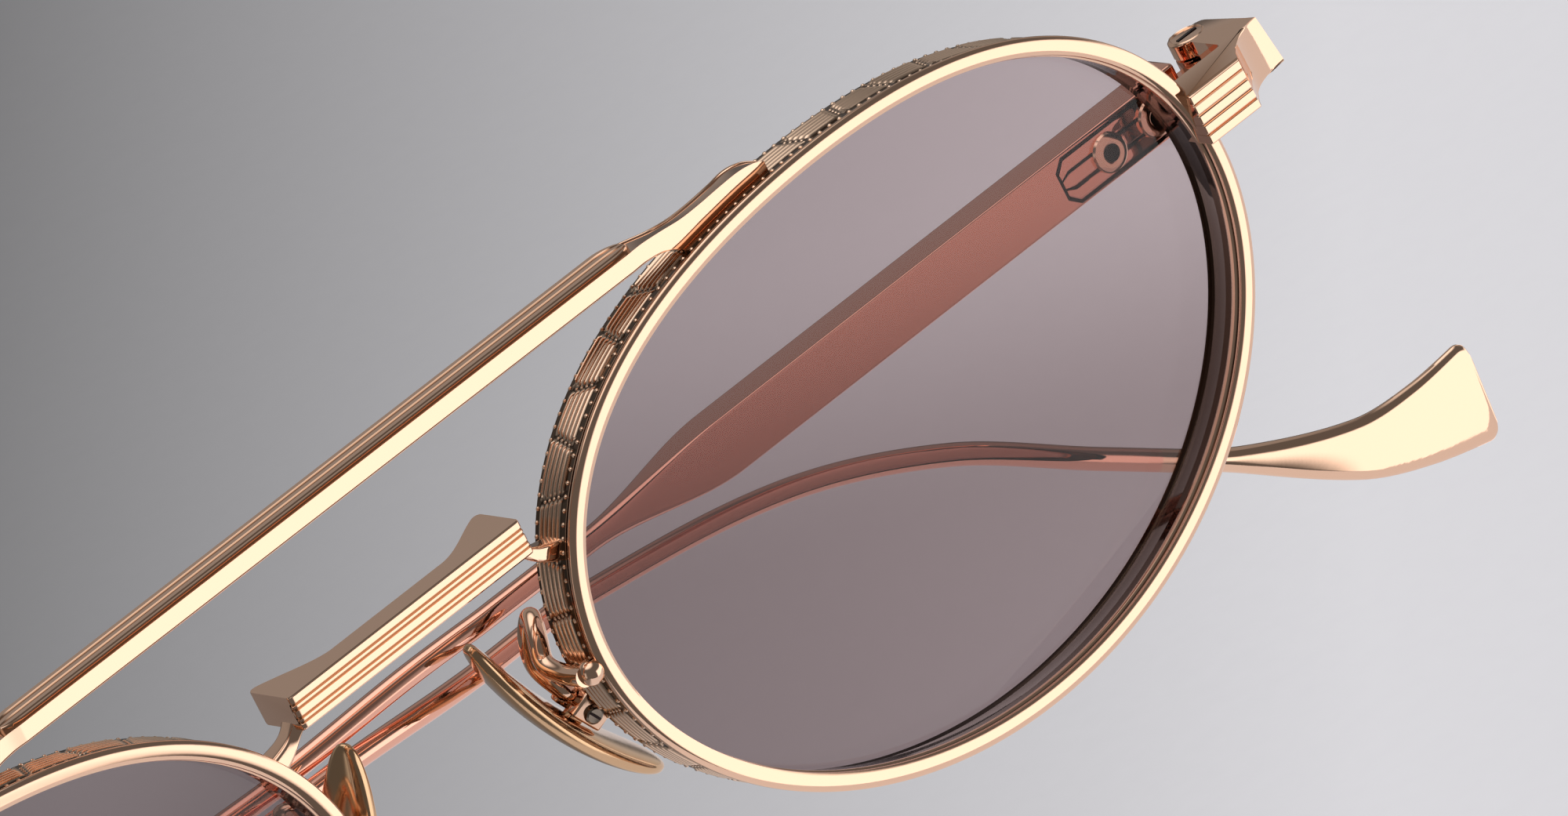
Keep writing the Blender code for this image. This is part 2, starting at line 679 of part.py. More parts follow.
def build_rim_screw(name, side, parts):
    """Small screw under the end piece that closes the rim around its lens."""
    head_top = RIM_SCREW_SUNK + RIM_SCREW_HEAD_HEIGHT
    profile = [
        (0.0, RIM_SCREW_LENGTH),
        (RIM_SCREW_RADIUS, RIM_SCREW_LENGTH),
        (RIM_SCREW_RADIUS, head_top),
        (RIM_SCREW_HEAD, head_top),
        (RIM_SCREW_HEAD, RIM_SCREW_SUNK),
        (0.0, RIM_SCREW_SUNK),
    ]
    screw = screw_profile(name, profile, parts, STEEL, 14)
    screw.location = (side * (RIM_SIDE_X + RIM_SCREW_INSET), rim_screw_y(), END_TOP - END_HEIGHT)
    return screw


def build_hinge_screw(name, parts, hinge):
    """The hinge's pin: a screw with a socketed head sunk in the top knuckle."""
    top = END_HEIGHT / 2 - HINGE_HEAD_SUNK
    low = -END_HEIGHT / 2 + HINGE_SCREW_SHORT
    head_low = top - HINGE_HEAD + HOLE_GAP
    profile = [
        (0.0, top - SOCKET_DEPTH),
        (SOCKET_RADIUS, top - SOCKET_DEPTH),
        (SOCKET_RADIUS, top),
        (HINGE_HEAD_RADIUS, top),
        (HINGE_HEAD_RADIUS, head_low),
        (HINGE_SCREW_RADIUS, head_low),
        (HINGE_SCREW_RADIUS, low),
        (0.0, low),
    ]
    screw = screw_profile(name, profile, parts, GOLD)
    screw.parent = hinge
    return screw


def leaf_outline(side, grow=0.0):
    """Leaf seen from the side, as (along, up): a bevelled tip and a straight root."""
    half = LEAF_HEIGHT / 2 + grow
    tip = LEAF_TIP + grow
    shoulder = tip - LEAF_BEVEL
    root = LEAF_NECK - grow
    points = [
        (root, -half), (shoulder, -half), (tip, -half + LEAF_BEVEL),
        (tip, half - LEAF_BEVEL), (shoulder, half), (root, half),
    ]
    return [(side * (HINGE_X - along), up) for along, up in points]


def upright_plate(name, outline, front, back):
    """An outline in X and Z, extruded along Y from front to back."""
    mesh = plate_mesh(name, outline, -back, -front)
    mesh.transform(Matrix.Rotation(math.pi / 2, 4, "X"))
    return mesh


def build_leaf(name, side, parts, cutters, hinge):
    """Hinge leaf let into the temple's inner face, with the middle knuckle."""
    middle = HINGE_Z - BLADE_DROP
    outline = [(x, middle + z) for x, z in leaf_outline(side)]
    leaf = add_object(name, upright_plate(name, outline, BLADE_Y, BLADE_Y + LEAF_THICK), parts, GOLD)

    half = MIDDLE_KNUCKLE / 2
    inner = -HINGE_BACKSET + KNUCKLE_EASE
    root = LEAF_NECK + NECK_LAP
    tongue = [
        (-root, inner),
        (-KNUCKLE_RADIUS / 4, inner + LEAF_THICK / 2),
        (KNUCKLE_RADIUS / 6, KNUCKLE_RADIUS / 4),
        (-KNUCKLE_RADIUS / 2, KNUCKLE_RADIUS / 2),
        (-KNUCKLE_RADIUS * 4 / 3, inner + LEAF_THICK),
        (-root, inner + LEAF_THICK - 2 * KNUCKLE_EASE),
    ]
    neck_mesh = plate_mesh(name + "_neck", [(side * x, y) for x, y in tongue], -half, half)
    neck = as_cutter(add_object(name + "_neck", neck_mesh, cutters))
    neck.parent = hinge
    knuckle_mesh = turned_mesh(name + "_knuckle", [(KNUCKLE_RADIUS - KNUCKLE_EASE, -half, half)])
    knuckle = as_cutter(add_object(name + "_knuckle", knuckle_mesh, cutters))
    knuckle.parent = hinge
    bore = turned_mesh(name + "_bore", [(HINGE_SCREW_RADIUS + HOLE_GAP, -2 * half, 2 * half)])
    bore_tool = as_cutter(add_object(name + "_bore", bore, cutters))
    bore_tool.parent = hinge
    boolean(leaf, neck, "UNION")
    boolean(leaf, knuckle, "UNION")
    boolean(leaf, bore_tool)
    for number, along in enumerate(LEAF_SCREWS):
        hole = leaf_screw_hole(f"{name}_hole_{number}", side, along, cutters)
        boolean(leaf, hole)
    return leaf


def leaf_screw_place(side, along):
    """Frame of a leaf screw: local Z points forward, out of the temple's inner face."""
    centre = (side * (HINGE_X - along), BLADE_Y, HINGE_Z - BLADE_DROP)
    return Matrix.Translation(centre) @ Matrix.Rotation(math.pi / 2, 4, "X")


def leaf_screw_hole(name, side, along, cutters):
    radius = LEAF_SHANK_RADIUS + HOLE_GAP
    mesh = turned_mesh(name, [(radius, -LEAF_SHANK - HOLE_GAP, MM)], 12)
    hole = as_cutter(add_object(name, mesh, cutters))
    hole.matrix_world = leaf_screw_place(side, along)
    return hole


def build_leaf_screw(name, side, along, parts):
    """Screw with a ring-shaped head that stands on the leaf."""
    low = HOLE_GAP
    high = low + LEAF_HEAD_HEIGHT
    profile = [
        (0.0, low + LEAF_SOCKET_FLOOR),
        (LEAF_SOCKET_RADIUS, low + LEAF_SOCKET_FLOOR),
        (LEAF_SOCKET_RADIUS, high),
        (LEAF_HEAD_RADIUS - LEAF_HEAD_BEVEL, high),
        (LEAF_HEAD_RADIUS, high - LEAF_HEAD_BEVEL),
        (LEAF_HEAD_RADIUS, low),
        (LEAF_SHANK_RADIUS, low),
        (LEAF_SHANK_RADIUS, -LEAF_SHANK),
        (0.0, -LEAF_SHANK),
    ]
    screw = screw_profile(name, profile, parts, GOLD, 16)
    screw.matrix_world = leaf_screw_place(side, along)
    return screw


def temple_section(side, along):
    """Eight-sided section of a temple, at a distance along it from the hinge."""
    slope = FOLDED_SLOPE_LEFT if side > 0 else FOLDED_SLOPE_RIGHT
    rod_height = through(EAR_BEND, max(along, EAR_BEND[0][0])) + slope * along
    taper = ease(along, TAPER_START, TAPER_END - TAPER_START)
    bow = BOW * min(max((along - BOW_START) / BOW_RUN, 0), 1)
    share = max((along - PADDLE_START) / (PADDLE_END - PADDLE_START), 0)
    widen = share * share * (1 + PADDLE_SOFT) / (share + PADDLE_SOFT)
    half_y = BLADE_THICK / 2 + taper * (ROD_RADIUS - BLADE_THICK / 2) + widen * (PADDLE_THICK / 2 - ROD_RADIUS)
    half_z = BLADE_HEIGHT / 2 + taper * (ROD_RADIUS - BLADE_HEIGHT / 2) + widen * (PADDLE_HEIGHT / 2 - ROD_RADIUS)
    round_edge = ROD_RADIUS * (1 - math.tan(math.pi / 8))
    edge = BLADE_EDGE + (taper - widen) * (round_edge - BLADE_EDGE)
    middle_z = (1 - taper) * (HINGE_Z - BLADE_DROP) + taper * rod_height
    corners = [
        (-half_y, -half_z + edge), (-half_y, half_z - edge), (-half_y + edge, half_z), (half_y - edge, half_z),
        (half_y, half_z - edge), (half_y, -half_z + edge), (half_y - edge, -half_z), (-half_y + edge, -half_z),
    ]
    return [(side * (HINGE_X - along), ROD_Y + bow + y, middle_z + z) for y, z in corners]


def build_temple(name, side, parts, cutters):
    """Flat blade that runs out into a round rod, with a flat paddle behind the ear."""
    stations = [BLADE_START, TAPER_START]
    count = round((PADDLE_END - TAPER_START) / ROD_STEP)
    stations += [TAPER_START + (PADDLE_END - TAPER_START) * (i + 1) / count for i in range(count)]
    mesh = loft_mesh(name, [temple_section(side, along) for along in stations])
    smooth(mesh)
    temple = add_object(name, mesh, parts, GOLD)
    middle = HINGE_Z - BLADE_DROP
    outline = [(x, middle + z) for x, z in leaf_outline(side, POCKET_GAP)]
    floor = BLADE_Y + LEAF_THICK + POCKET_GAP
    pocket_mesh = upright_plate(name + "_pocket", outline, BLADE_Y - MM, floor)
    pocket = as_cutter(add_object(name + "_pocket", pocket_mesh, cutters))
    boolean(temple, pocket)
    depth = LEAF_THICK + POCKET_GAP + MM
    size = (LEAF_NECK, depth, LEAF_HEIGHT + 2 * POCKET_GAP)
    centre = (side * (HINGE_X - LEAF_NECK / 2 - POCKET_GAP), floor - depth / 2, middle)
    root = box_mesh(name + "_root", size, centre)
    root_tool = as_cutter(add_object(name + "_root", root, cutters))
    boolean(temple, root_tool)
    for number, along in enumerate(LEAF_SCREWS):
        boolean(temple, leaf_screw_hole(f"{name}_hole_{number}", side, along, cutters))
    return temple


def mirrored(vector, side):
    return Vector((side * vector[0], vector[1], vector[2]))


def pad_matrix(side, centre=PAD_CENTRE):
    """Frame of a pad: X is its length, downwards, Y its width, backwards, and Z leads away from the nose."""
    x_way = mirrored(PAD_LENGTH_WAY, side)
    y_way = mirrored(PAD_DEPTH_WAY, side)
    y_way = (y_way - x_way * x_way.dot(y_way)).normalized()
    z_way = mirrored(PAD_OUT_WAY, side)
    z_way = (z_way - x_way * x_way.dot(z_way)).normalized()
    return axes_matrix(mirrored(centre, side), x_way, y_way, z_way)


def build_nose_pad(name, side, parts, cutters):
    """Crowned metal pad with a pierced tab behind it."""
    stations = 12
    rings = []
    for i in range(stations + 1):
        share = -1 + 2 * (0.02 + 0.96 * i / stations)
        half = PAD_WIDTH / 2 * math.sqrt(1 - share * share) * (1 + PAD_TOP_TAPER * share)
        lift = PAD_CROWN * share * share
        thick = PAD_THICK * (0.45 + 0.55 * math.sqrt(1 - share * share))
        along = share * PAD_LENGTH / 2
        rings.append([
            (along, -half, lift), (along, -0.6 * half, lift - 0.25 * thick), (along, 0.6 * half, lift - 0.25 * thick),
            (along, half, lift), (along, 0.6 * half, lift + 0.75 * thick), (along, -0.6 * half, lift + 0.75 * thick),
        ])
    mesh = loft_mesh(name, rings)
    smooth(mesh, 50)
    pad = add_object(name, mesh, parts, GOLD)
    pad.matrix_world = pad_matrix(side)
    tab_root = 0.1 * MM
    tab_height = BOX_OUT + BOX_DEPTH / 2 - BOX_WALL - RUN_GAP - tab_root
    tab_length = BOX_LENGTH - 2 * BOX_WALL - 2 * RUN_GAP
    tab_centre = (BOX_DOWN, 0, tab_root + tab_height / 2)
    tab_mesh = box_mesh(name + "_tab", (tab_length, TAB_WIDTH, tab_height), tab_centre)
    tab = as_cutter(add_object(name + "_tab", tab_mesh, cutters))
    tab.matrix_world = pad_matrix(side)
    bore_mesh = turned_mesh(name + "_bore", [(PAD_SCREW_RADIUS + HOLE_GAP, -BOX_WIDTH, BOX_WIDTH)], 12)
    bore = as_cutter(add_object(name + "_bore", bore_mesh, cutters))
    bore.matrix_world = pad_screw_matrix(side)
    boolean(pad, tab, "UNION")
    boolean(pad, bore)
    return pad


def pad_screw_matrix(side):
    """Frame of a pad's screw: local Z runs backwards along the pad's width."""
    centre = BOX_CENTRE - PAD_OUT_WAY * PAD_SCREW_DROP
    return pad_matrix(side, centre) @ Matrix.Rotation(-math.pi / 2, 4, "X")


def build_pad_box(name, side, parts, cutters):
    """Box with a well for the pad's tab and a bore for its screw."""
    mesh = box_mesh(name, (BOX_LENGTH, BOX_WIDTH, BOX_DEPTH))
    box = add_object(name, mesh, parts, GOLD)
    box.matrix_world = pad_matrix(side, BOX_CENTRE)
    well_size = (BOX_LENGTH - 2 * BOX_WALL, TAB_WIDTH + 2 * RUN_GAP, BOX_DEPTH)
    well_mesh = box_mesh(name + "_well", well_size, (0, 0, -BOX_WALL))
    well = as_cutter(add_object(name + "_well", well_mesh, cutters))
    well.matrix_world = pad_matrix(side, BOX_CENTRE)
    bore_mesh = turned_mesh(name + "_bore", [(PAD_SCREW_RADIUS + HOLE_GAP, -BOX_WIDTH, BOX_WIDTH)], 12)
    bore = as_cutter(add_object(name + "_bore", bore_mesh, cutters))
    bore.matrix_world = pad_screw_matrix(side)
    boolean(box, well)
    boolean(box, bore)
    return box


def build_pad_screw(name, side, parts):
    """Screw through a pad's box, its head in front."""
    half = BOX_WIDTH / 2
    head_low = half + HOLE_GAP
    head_high = head_low + PAD_SCREW_HEAD_HEIGHT
    profile = [
        (0.0, head_high),
        (PAD_SCREW_HEAD, head_high),
        (PAD_SCREW_HEAD, head_low),
        (PAD_SCREW_RADIUS, head_low),
        (PAD_SCREW_RADIUS, -half),
        (0.0, -half),
    ]
    screw = screw_profile(name, profile, parts, STEEL, 12)
    screw.matrix_world = pad_screw_matrix(side) @ Matrix.Rotation(math.pi, 4, "X")
    return screw


def smooth_route(points, steps):
    """Points along a smooth curve through the given ones."""
    route = []
    for i in range(len(points) - 1):
        before = points[max(i - 1, 0)]
        after = points[min(i + 2, len(points) - 1)]
        start, end = points[i], points[i + 1]
        for k in range(steps):
            t = k / steps
            route.append(
                (2 * t**3 - 3 * t**2 + 1) * start
                + (t**3 - 2 * t**2 + t) * 0.5 * (end - before)
                + (3 * t**2 - 2 * t**3) * end
                + (t**3 - t**2) * 0.5 * (after - start)
            )
    return route + [points[-1]]


def build_pad_arm(name, side, parts, cutters):
    """Wire that is soldered to the rim's side, loops up and back, and ends on the pad box."""
    end = BOX_CENTRE - PAD_LENGTH_WAY * (BOX_LENGTH / 2 + SEAT_GAP)
    before_end = end - PAD_LENGTH_WAY * ARM_STUB
    bends = [mirrored(point, side) for point in ARM_BENDS]
    bends += [mirrored(before_end, side), mirrored(end, side)]
    route = smooth_route(bends, 3)
    curve = bpy.data.curves.new(name, "CURVE")
    curve.dimensions = "3D"
    curve.bevel_depth = ARM_RADIUS
    curve.bevel_resolution = 2
    curve.use_fill_caps = True
    spline = curve.splines.new("POLY")
    spline.points.add(len(route) - 1)
    for point, place in zip(spline.points, route):
        point.co = (*place, 1)
    mesh = curve_mesh(name + "_wire", curve)
    smooth(mesh, 60)
    arm = add_object(name, mesh, parts, GOLD)

    def build_ball(bm):
        bmesh.ops.create_uvsphere(bm, u_segments=12, v_segments=8, radius=ARM_BALL)

    ball = as_cutter(add_object(name + "_ball", mesh_from(name + "_ball", build_ball), cutters))
    ball.location = mirrored(ARM_BENDS[0], side) + Vector((side * (ARM_RADIUS - ARM_BALL), 0, 0))
    boolean(arm, ball, "UNION")
    return arm


def main():
    clear_scene()
    parts = new_collection("sunglasses")
    cutters = new_collection("cutters")
    profile = build_rim_profile(cutters)
    envelopes = []
    for side, hand in ((1, "left"), (-1, "right")):
        hinge = add_object(f"{hand}_hinge_axis", None, cutters)
        hinge.matrix_world = hinge_matrix(side)
        envelope = build_rim_envelope(f"{hand}_rim_envelope", side, cutters)
        envelopes.append(envelope)
        build_rim(f"{hand}_rim", side, profile, parts)
        build_lens(f"{hand}_lens", side, parts)
        build_end_piece(f"{hand}_end_piece", side, parts, cutters, envelope, hinge)
        build_rim_screw(f"{hand}_rim_screw", side, parts)
        build_hinge_screw(f"{hand}_hinge_screw", parts, hinge)
        build_leaf(f"{hand}_hinge_leaf", side, parts, cutters, hinge)
        for number, along in enumerate(LEAF_SCREWS, 1):
            build_leaf_screw(f"{hand}_leaf_screw_{number}", side, along, parts)
        build_temple(f"{hand}_temple", side, parts, cutters)
        build_nose_pad(f"{hand}_nose_pad", side, parts, cutters)
        build_pad_box(f"{hand}_pad_box", side, parts, cutters)
        build_pad_screw(f"{hand}_pad_screw", side, parts)
        build_pad_arm(f"{hand}_pad_arm", side, parts, cutters)
    build_brow_bar(parts, envelopes)
    build_bridge(parts, cutters, envelopes)
    bpy.context.view_layer.update()


main()
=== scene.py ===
"""Folded sunglasses of polished rose gold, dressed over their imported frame.

Sizes are in millimetres until a mesh is made. The front faces -Y, +X is the wearer's left, and
Z = 0 is the height of the lens centres.
"""

import json
import logging
import math
from dataclasses import dataclass
from enum import Enum
from functools import cache

import bpy
import numpy as np
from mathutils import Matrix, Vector
from mathutils.geometry import tessellate_polygon

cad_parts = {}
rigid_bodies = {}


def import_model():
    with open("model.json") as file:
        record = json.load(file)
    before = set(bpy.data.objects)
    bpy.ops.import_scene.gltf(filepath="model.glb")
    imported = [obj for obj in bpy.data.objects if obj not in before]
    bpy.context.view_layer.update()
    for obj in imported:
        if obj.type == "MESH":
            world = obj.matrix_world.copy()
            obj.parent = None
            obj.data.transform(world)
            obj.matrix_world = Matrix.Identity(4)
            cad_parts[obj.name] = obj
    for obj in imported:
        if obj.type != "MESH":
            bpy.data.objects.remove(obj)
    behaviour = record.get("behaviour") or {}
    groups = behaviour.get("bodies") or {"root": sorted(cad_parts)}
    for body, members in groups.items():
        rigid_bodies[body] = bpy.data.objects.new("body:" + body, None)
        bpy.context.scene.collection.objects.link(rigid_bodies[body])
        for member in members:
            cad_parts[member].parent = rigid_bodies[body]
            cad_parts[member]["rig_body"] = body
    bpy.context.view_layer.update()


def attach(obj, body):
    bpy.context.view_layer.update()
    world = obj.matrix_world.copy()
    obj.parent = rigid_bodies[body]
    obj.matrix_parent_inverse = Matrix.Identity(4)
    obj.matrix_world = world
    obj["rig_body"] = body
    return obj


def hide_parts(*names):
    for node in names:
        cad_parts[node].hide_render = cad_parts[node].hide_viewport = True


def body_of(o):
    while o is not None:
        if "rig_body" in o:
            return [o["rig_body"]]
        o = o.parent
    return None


MM = 0.001
UPRIGHT = np.eye(3)
Array = np.ndarray
Numbers = tuple[float, ...]
Table = tuple[Numbers, ...]
Socket = bpy.types.NodeSocket
LOG = logging.getLogger("sunglasses")


class Side(Enum):
    """A side of the wearer, as the sign of its X."""

    LEFT = 1
    RIGHT = -1

    @property
    def hand(self) -> str:
        """The word that starts the names of this side's nodes."""
        return self.name.lower()


def ease(share: Array) -> Array:
    """A smooth step: 3t^2 - 2t^3 of the share, held between 0 and 1."""
    held = np.clip(share, 0.0, 1.0)
    return held * held * (3 - 2 * held)


def unit(vectors: Array) -> Array:
    """The vectors, each divided by its own length."""
    return vectors / np.linalg.norm(vectors, axis=-1, keepdims=True)


def through(knots: Table | Array, at: Array) -> Array:
    """A smooth curve through knots of (position, value, ...).

    Cubic pieces whose slope at a knot is that of the chord between its two neighbours.

    Args:
        knots: Rows of a position followed by the values there.
        at: Positions at which the curve is wanted.

    Returns:
        One row of values for each position.
    """
    knots = np.asarray(knots, float)
    place, value = knots[:, 0], knots[:, 1:]
    inner = (value[2:] - value[:-2]) / (place[2:] - place[:-2])[:, None]
    first = (value[1:2] - value[:1]) / (place[1] - place[0])
    last = (value[-1:] - value[-2:-1]) / (place[-1] - place[-2])
    slope = np.concatenate([first, inner, last])
    k = np.clip(np.searchsorted(place, at, side="right") - 1, 0, len(place) - 2)
    run = (place[k + 1] - place[k])[:, None]
    t = (at - place[k])[:, None] / run
    return (
        (2 * t**3 - 3 * t**2 + 1) * value[k]
        + (t**3 - 2 * t**2 + t) * run * slope[k]
        + (3 * t**2 - 2 * t**3) * value[k + 1]
        + (t**3 - t**2) * run * slope[k + 1]
    )


def corner_curve(start: Array, corner: Array, end: Array, steps: int) -> Array:
    """A curve round a corner: (1-t)^2 start + 2t(1-t) corner + t^2 end.

    Args:
        start: Where it starts, any number of points at once.
        corner: The corner that it bends towards.
        end: Where it ends.
        steps: Points on the curve.

    Returns:
        The curves' points, on a new axis before the last one.
    """
    t = np.linspace(0, 1, steps)[:, None]
    start, corner, end = (point[..., None, :] for point in (start, corner, end))
    return (1 - t) ** 2 * start + 2 * t * (1 - t) * corner + t**2 * end


@dataclass
class Shell:
    """A closed skin: points, faces of four and of three corners, and a recess mask of painted shade."""

    points: Array
    quads: Array
    tris: Array
    recess: Array

    def outward(self) -> "Shell":
        """Turns the faces round where the volume that they enclose, a sum of a . (b x c), is negative.

        Returns:
            The skin, facing out.
        """
        split = np.concatenate([self.quads[:, [0, 1, 2]], self.quads[:, [0, 2, 3]], self.tris])
        a, b, c = (self.points[split[:, i]] for i in range(3))
        if np.einsum("ij,ij->i", a, np.cross(b, c)).sum() >= 0:
            return self
        return Shell(self.points, self.quads[:, ::-1], self.tris[:, ::-1], self.recess)

    def moved(self, turn: Array, place: Array) -> "Shell":
        """The skin with each point p put at turn @ p + place."""
        return Shell(self.points @ turn.T + place, self.quads, self.tris, self.recess)

    def sided(self, side: Side) -> "Shell":
        """The skin on the given side: X is multiplied by the side's sign, and faces still point out."""
        points = self.points * np.array([side.value, 1, 1])
        return Shell(points, self.quads, self.tris, self.recess).outward()

    def sunk(self) -> "Shell":
        """The skin as the floor of a groove: its mask is 1 all over, so that it is coloured as painted shade.
        """
        return Shell(self.points, self.quads, self.tris, np.ones(len(self.points)))


def wall(count: int, across: int, ring: bool = False) -> Array:
    """Faces of four corners between neighbouring rows of points, each row a closed loop.

    Args:
        count: How many rows there are.
        across: Points in a row.
        ring: True where the last row joins the first.

    Returns:
        The faces, each as the numbers of its corners.
    """
    i, j = np.arange(count if ring else count - 1)[:, None], np.arange(across)[None, :]
    near, far, beside = i * across, (i + 1) % count * across, (j + 1) % across
    return np.stack([near + j, near + beside, far + beside, far + j], -1).reshape(-1, 4)


def skin(rows: Array, ring: bool = False, recess: Array | None = None) -> Shell:
    """A closed skin over rows of points, each row a closed loop.

    The last row joins the first where ring is true. Otherwise each end is closed by a fan to the
    middle of its row.

    Args:
        rows: Grid of points, rows by columns by three.
        ring: True where the rows themselves run round.
        recess: A value from 0 to 1 for each point of the grid, 1 in the deepest groove.

    Returns:
        The skin, facing out.
    """
    count, across = rows.shape[:2]
    recess = np.zeros((count, across)) if recess is None else recess
    points, mask, tris = rows.reshape(-1, 3), recess.reshape(-1), np.zeros((0, 3), int)
    if not ring:
        size = count * across
        points = np.concatenate([points, rows[:1].mean(1), rows[-1:].mean(1)])
        mask = np.concatenate([mask, recess[:1].mean(1), recess[-1:].mean(1)])
        j, last = np.arange(across), (count - 1) * across
        beside = (j + 1) % across
        start = np.stack([np.full(across, size), beside, j], -1)
        end = np.stack([np.full(across, size + 1), last + j, last + beside], -1)
        tris = np.concatenate([start, end])
    return Shell(points, wall(count, across, ring), tris, mask).outward()


def slab(rows: Array, recess: Array) -> Shell:
    """A closed skin whose two ends are flat outlines of any shape, filled with triangles.

    Args:
        rows: Grid of points, rows by columns by three, each row an outline at one height.
        recess: A value from 0 to 1 for each point.

    Returns:
        The skin, facing out.
    """
    count, across = rows.shape[:2]
    flat = rows[0, :, :2]
    turn = np.sign(np.cross(flat, np.roll(flat, -1, 0)).sum())
    fill = np.array(tessellate_polygon([[Vector((x, y, 0.0)) for x, y in flat]]))
    a, b, c = (flat[fill[:, i]] for i in range(3))
    wrong = np.sign(np.cross(b - a, c - a)) != turn
    fill[wrong] = fill[wrong][:, ::-1]
    tris = np.concatenate([fill[:, ::-1], fill + (count - 1) * across])
    return Shell(rows.reshape(-1, 3), wall(count, across), tris, recess.reshape(-1)).outward()


def copies(shell: Shell, places: Array, axes: Array) -> Shell:
    """One skin repeated: copy k puts a point p at axes[k] @ p + places[k].

    Args:
        shell: The skin to repeat.
        places: Origins of the copies, k by three.
        axes: Matrices of the copies, k by three by three, whose columns are the axes.

    Returns:
        All the copies as one skin.
    """
    count, size = len(places), len(shell.points)
    points = np.einsum("kij,nj->kni", axes, shell.points) + places[:, None]
    shift = (np.arange(count) * size)[:, None, None]
    quads, tris = (shell.quads[None] + shift).reshape(-1, 4), (shell.tris[None] + shift).reshape(-1, 3)
    return Shell(points.reshape(-1, 3), quads, tris, np.tile(shell.recess, count)).outward()


def rounded(corners: Array, radius: float, steps: int) -> Array:
    """A closed outline in which each corner gives way to a curve that starts a radius away from it.

    Args:
        corners: Corner points, n by two.
        radius: How far from a corner its curve starts.
        steps: Points on each corner's curve.

    Returns:
        The outline, n * steps by two.
    """
    start = corners + unit(np.roll(corners, 1, 0) - corners) * radius
    end = corners + unit(np.roll(corners, -1, 0) - corners) * radius
    return corner_curve(start, corners, end, steps).reshape(-1, 2)


def turned(profile: Table | Array, segments: int = 48) -> Shell:
    """A solid of revolution about Z: (r cos a, r sin a, h) for each (r, h) of the profile.

    Args:
        profile: Rows of a radius and a height.
        segments: Points round the axis.

    Returns:
        The skin, with its ends closed.
    """
    profile = np.asarray(profile, float)
    angle = np.linspace(0, 2 * np.pi, segments, endpoint=False)[None, :]
    radius, height = profile[:, :1], np.broadcast_to(profile[:, 1:], (len(profile), segments))
    return skin(np.stack([radius * np.cos(angle), radius * np.sin(angle), height], -1))


def tube(path: Array, radius: float, reference: Numbers, segments: int = 20) -> Shell:
    """A round wire: path + r (cos a n + sin a b), where n = t x reference and b = t x n.

    Args:
        path: Points along the middle of the wire.
        radius: The wire's radius.
        reference: A direction that the wire never runs along.
        segments: Points round the wire.

    Returns:
        The wire's skin, with its ends closed.
    """
    along = unit(np.gradient(path, axis=0))
    first = unit(np.cross(along, reference))
    second = np.cross(along, first)
    angle = np.linspace(0, 2 * np.pi, segments, endpoint=False)[None, :, None]
    return skin(path[:, None] + radius * (np.cos(angle) * first[:, None] + np.sin(angle) * second[:, None]))


def block(size: Numbers, edge: float, steps: int = 4) -> Shell:
    """A box with rounded edges.

    It is a rounded rectangle, drawn in by edge (1 - sin t) at edge (1 - cos t) from its top and bottom.

    Args:
        size: Its three sizes.
        edge: Radius of its edges.
        steps: Points on each edge's curve. The first is doubled, so that the flat faces stay flat.

    Returns:
        The skin, around the origin.
    """
    x, y, z = np.asarray(size, float) / 2
    turn = np.concatenate([[0.0], np.linspace(0, np.pi / 2, steps)])
    inset, level = edge * (1 - np.sin(turn)), z - edge + edge * np.cos(turn)
    inset, height = np.concatenate([inset, inset[::-1]]), np.concatenate([level, -level[::-1]])
    plan = rounded(np.array([[x, y], [-x, y], [-x, -y], [x, -y]]), edge * 1.2, steps)
    shrink = 1 - inset[:, None, None] / np.array([x, y])
    height = np.broadcast_to(height[:, None, None], (len(height), len(plan), 1))
    return skin(np.concatenate([plan[None] * shrink, height], -1))


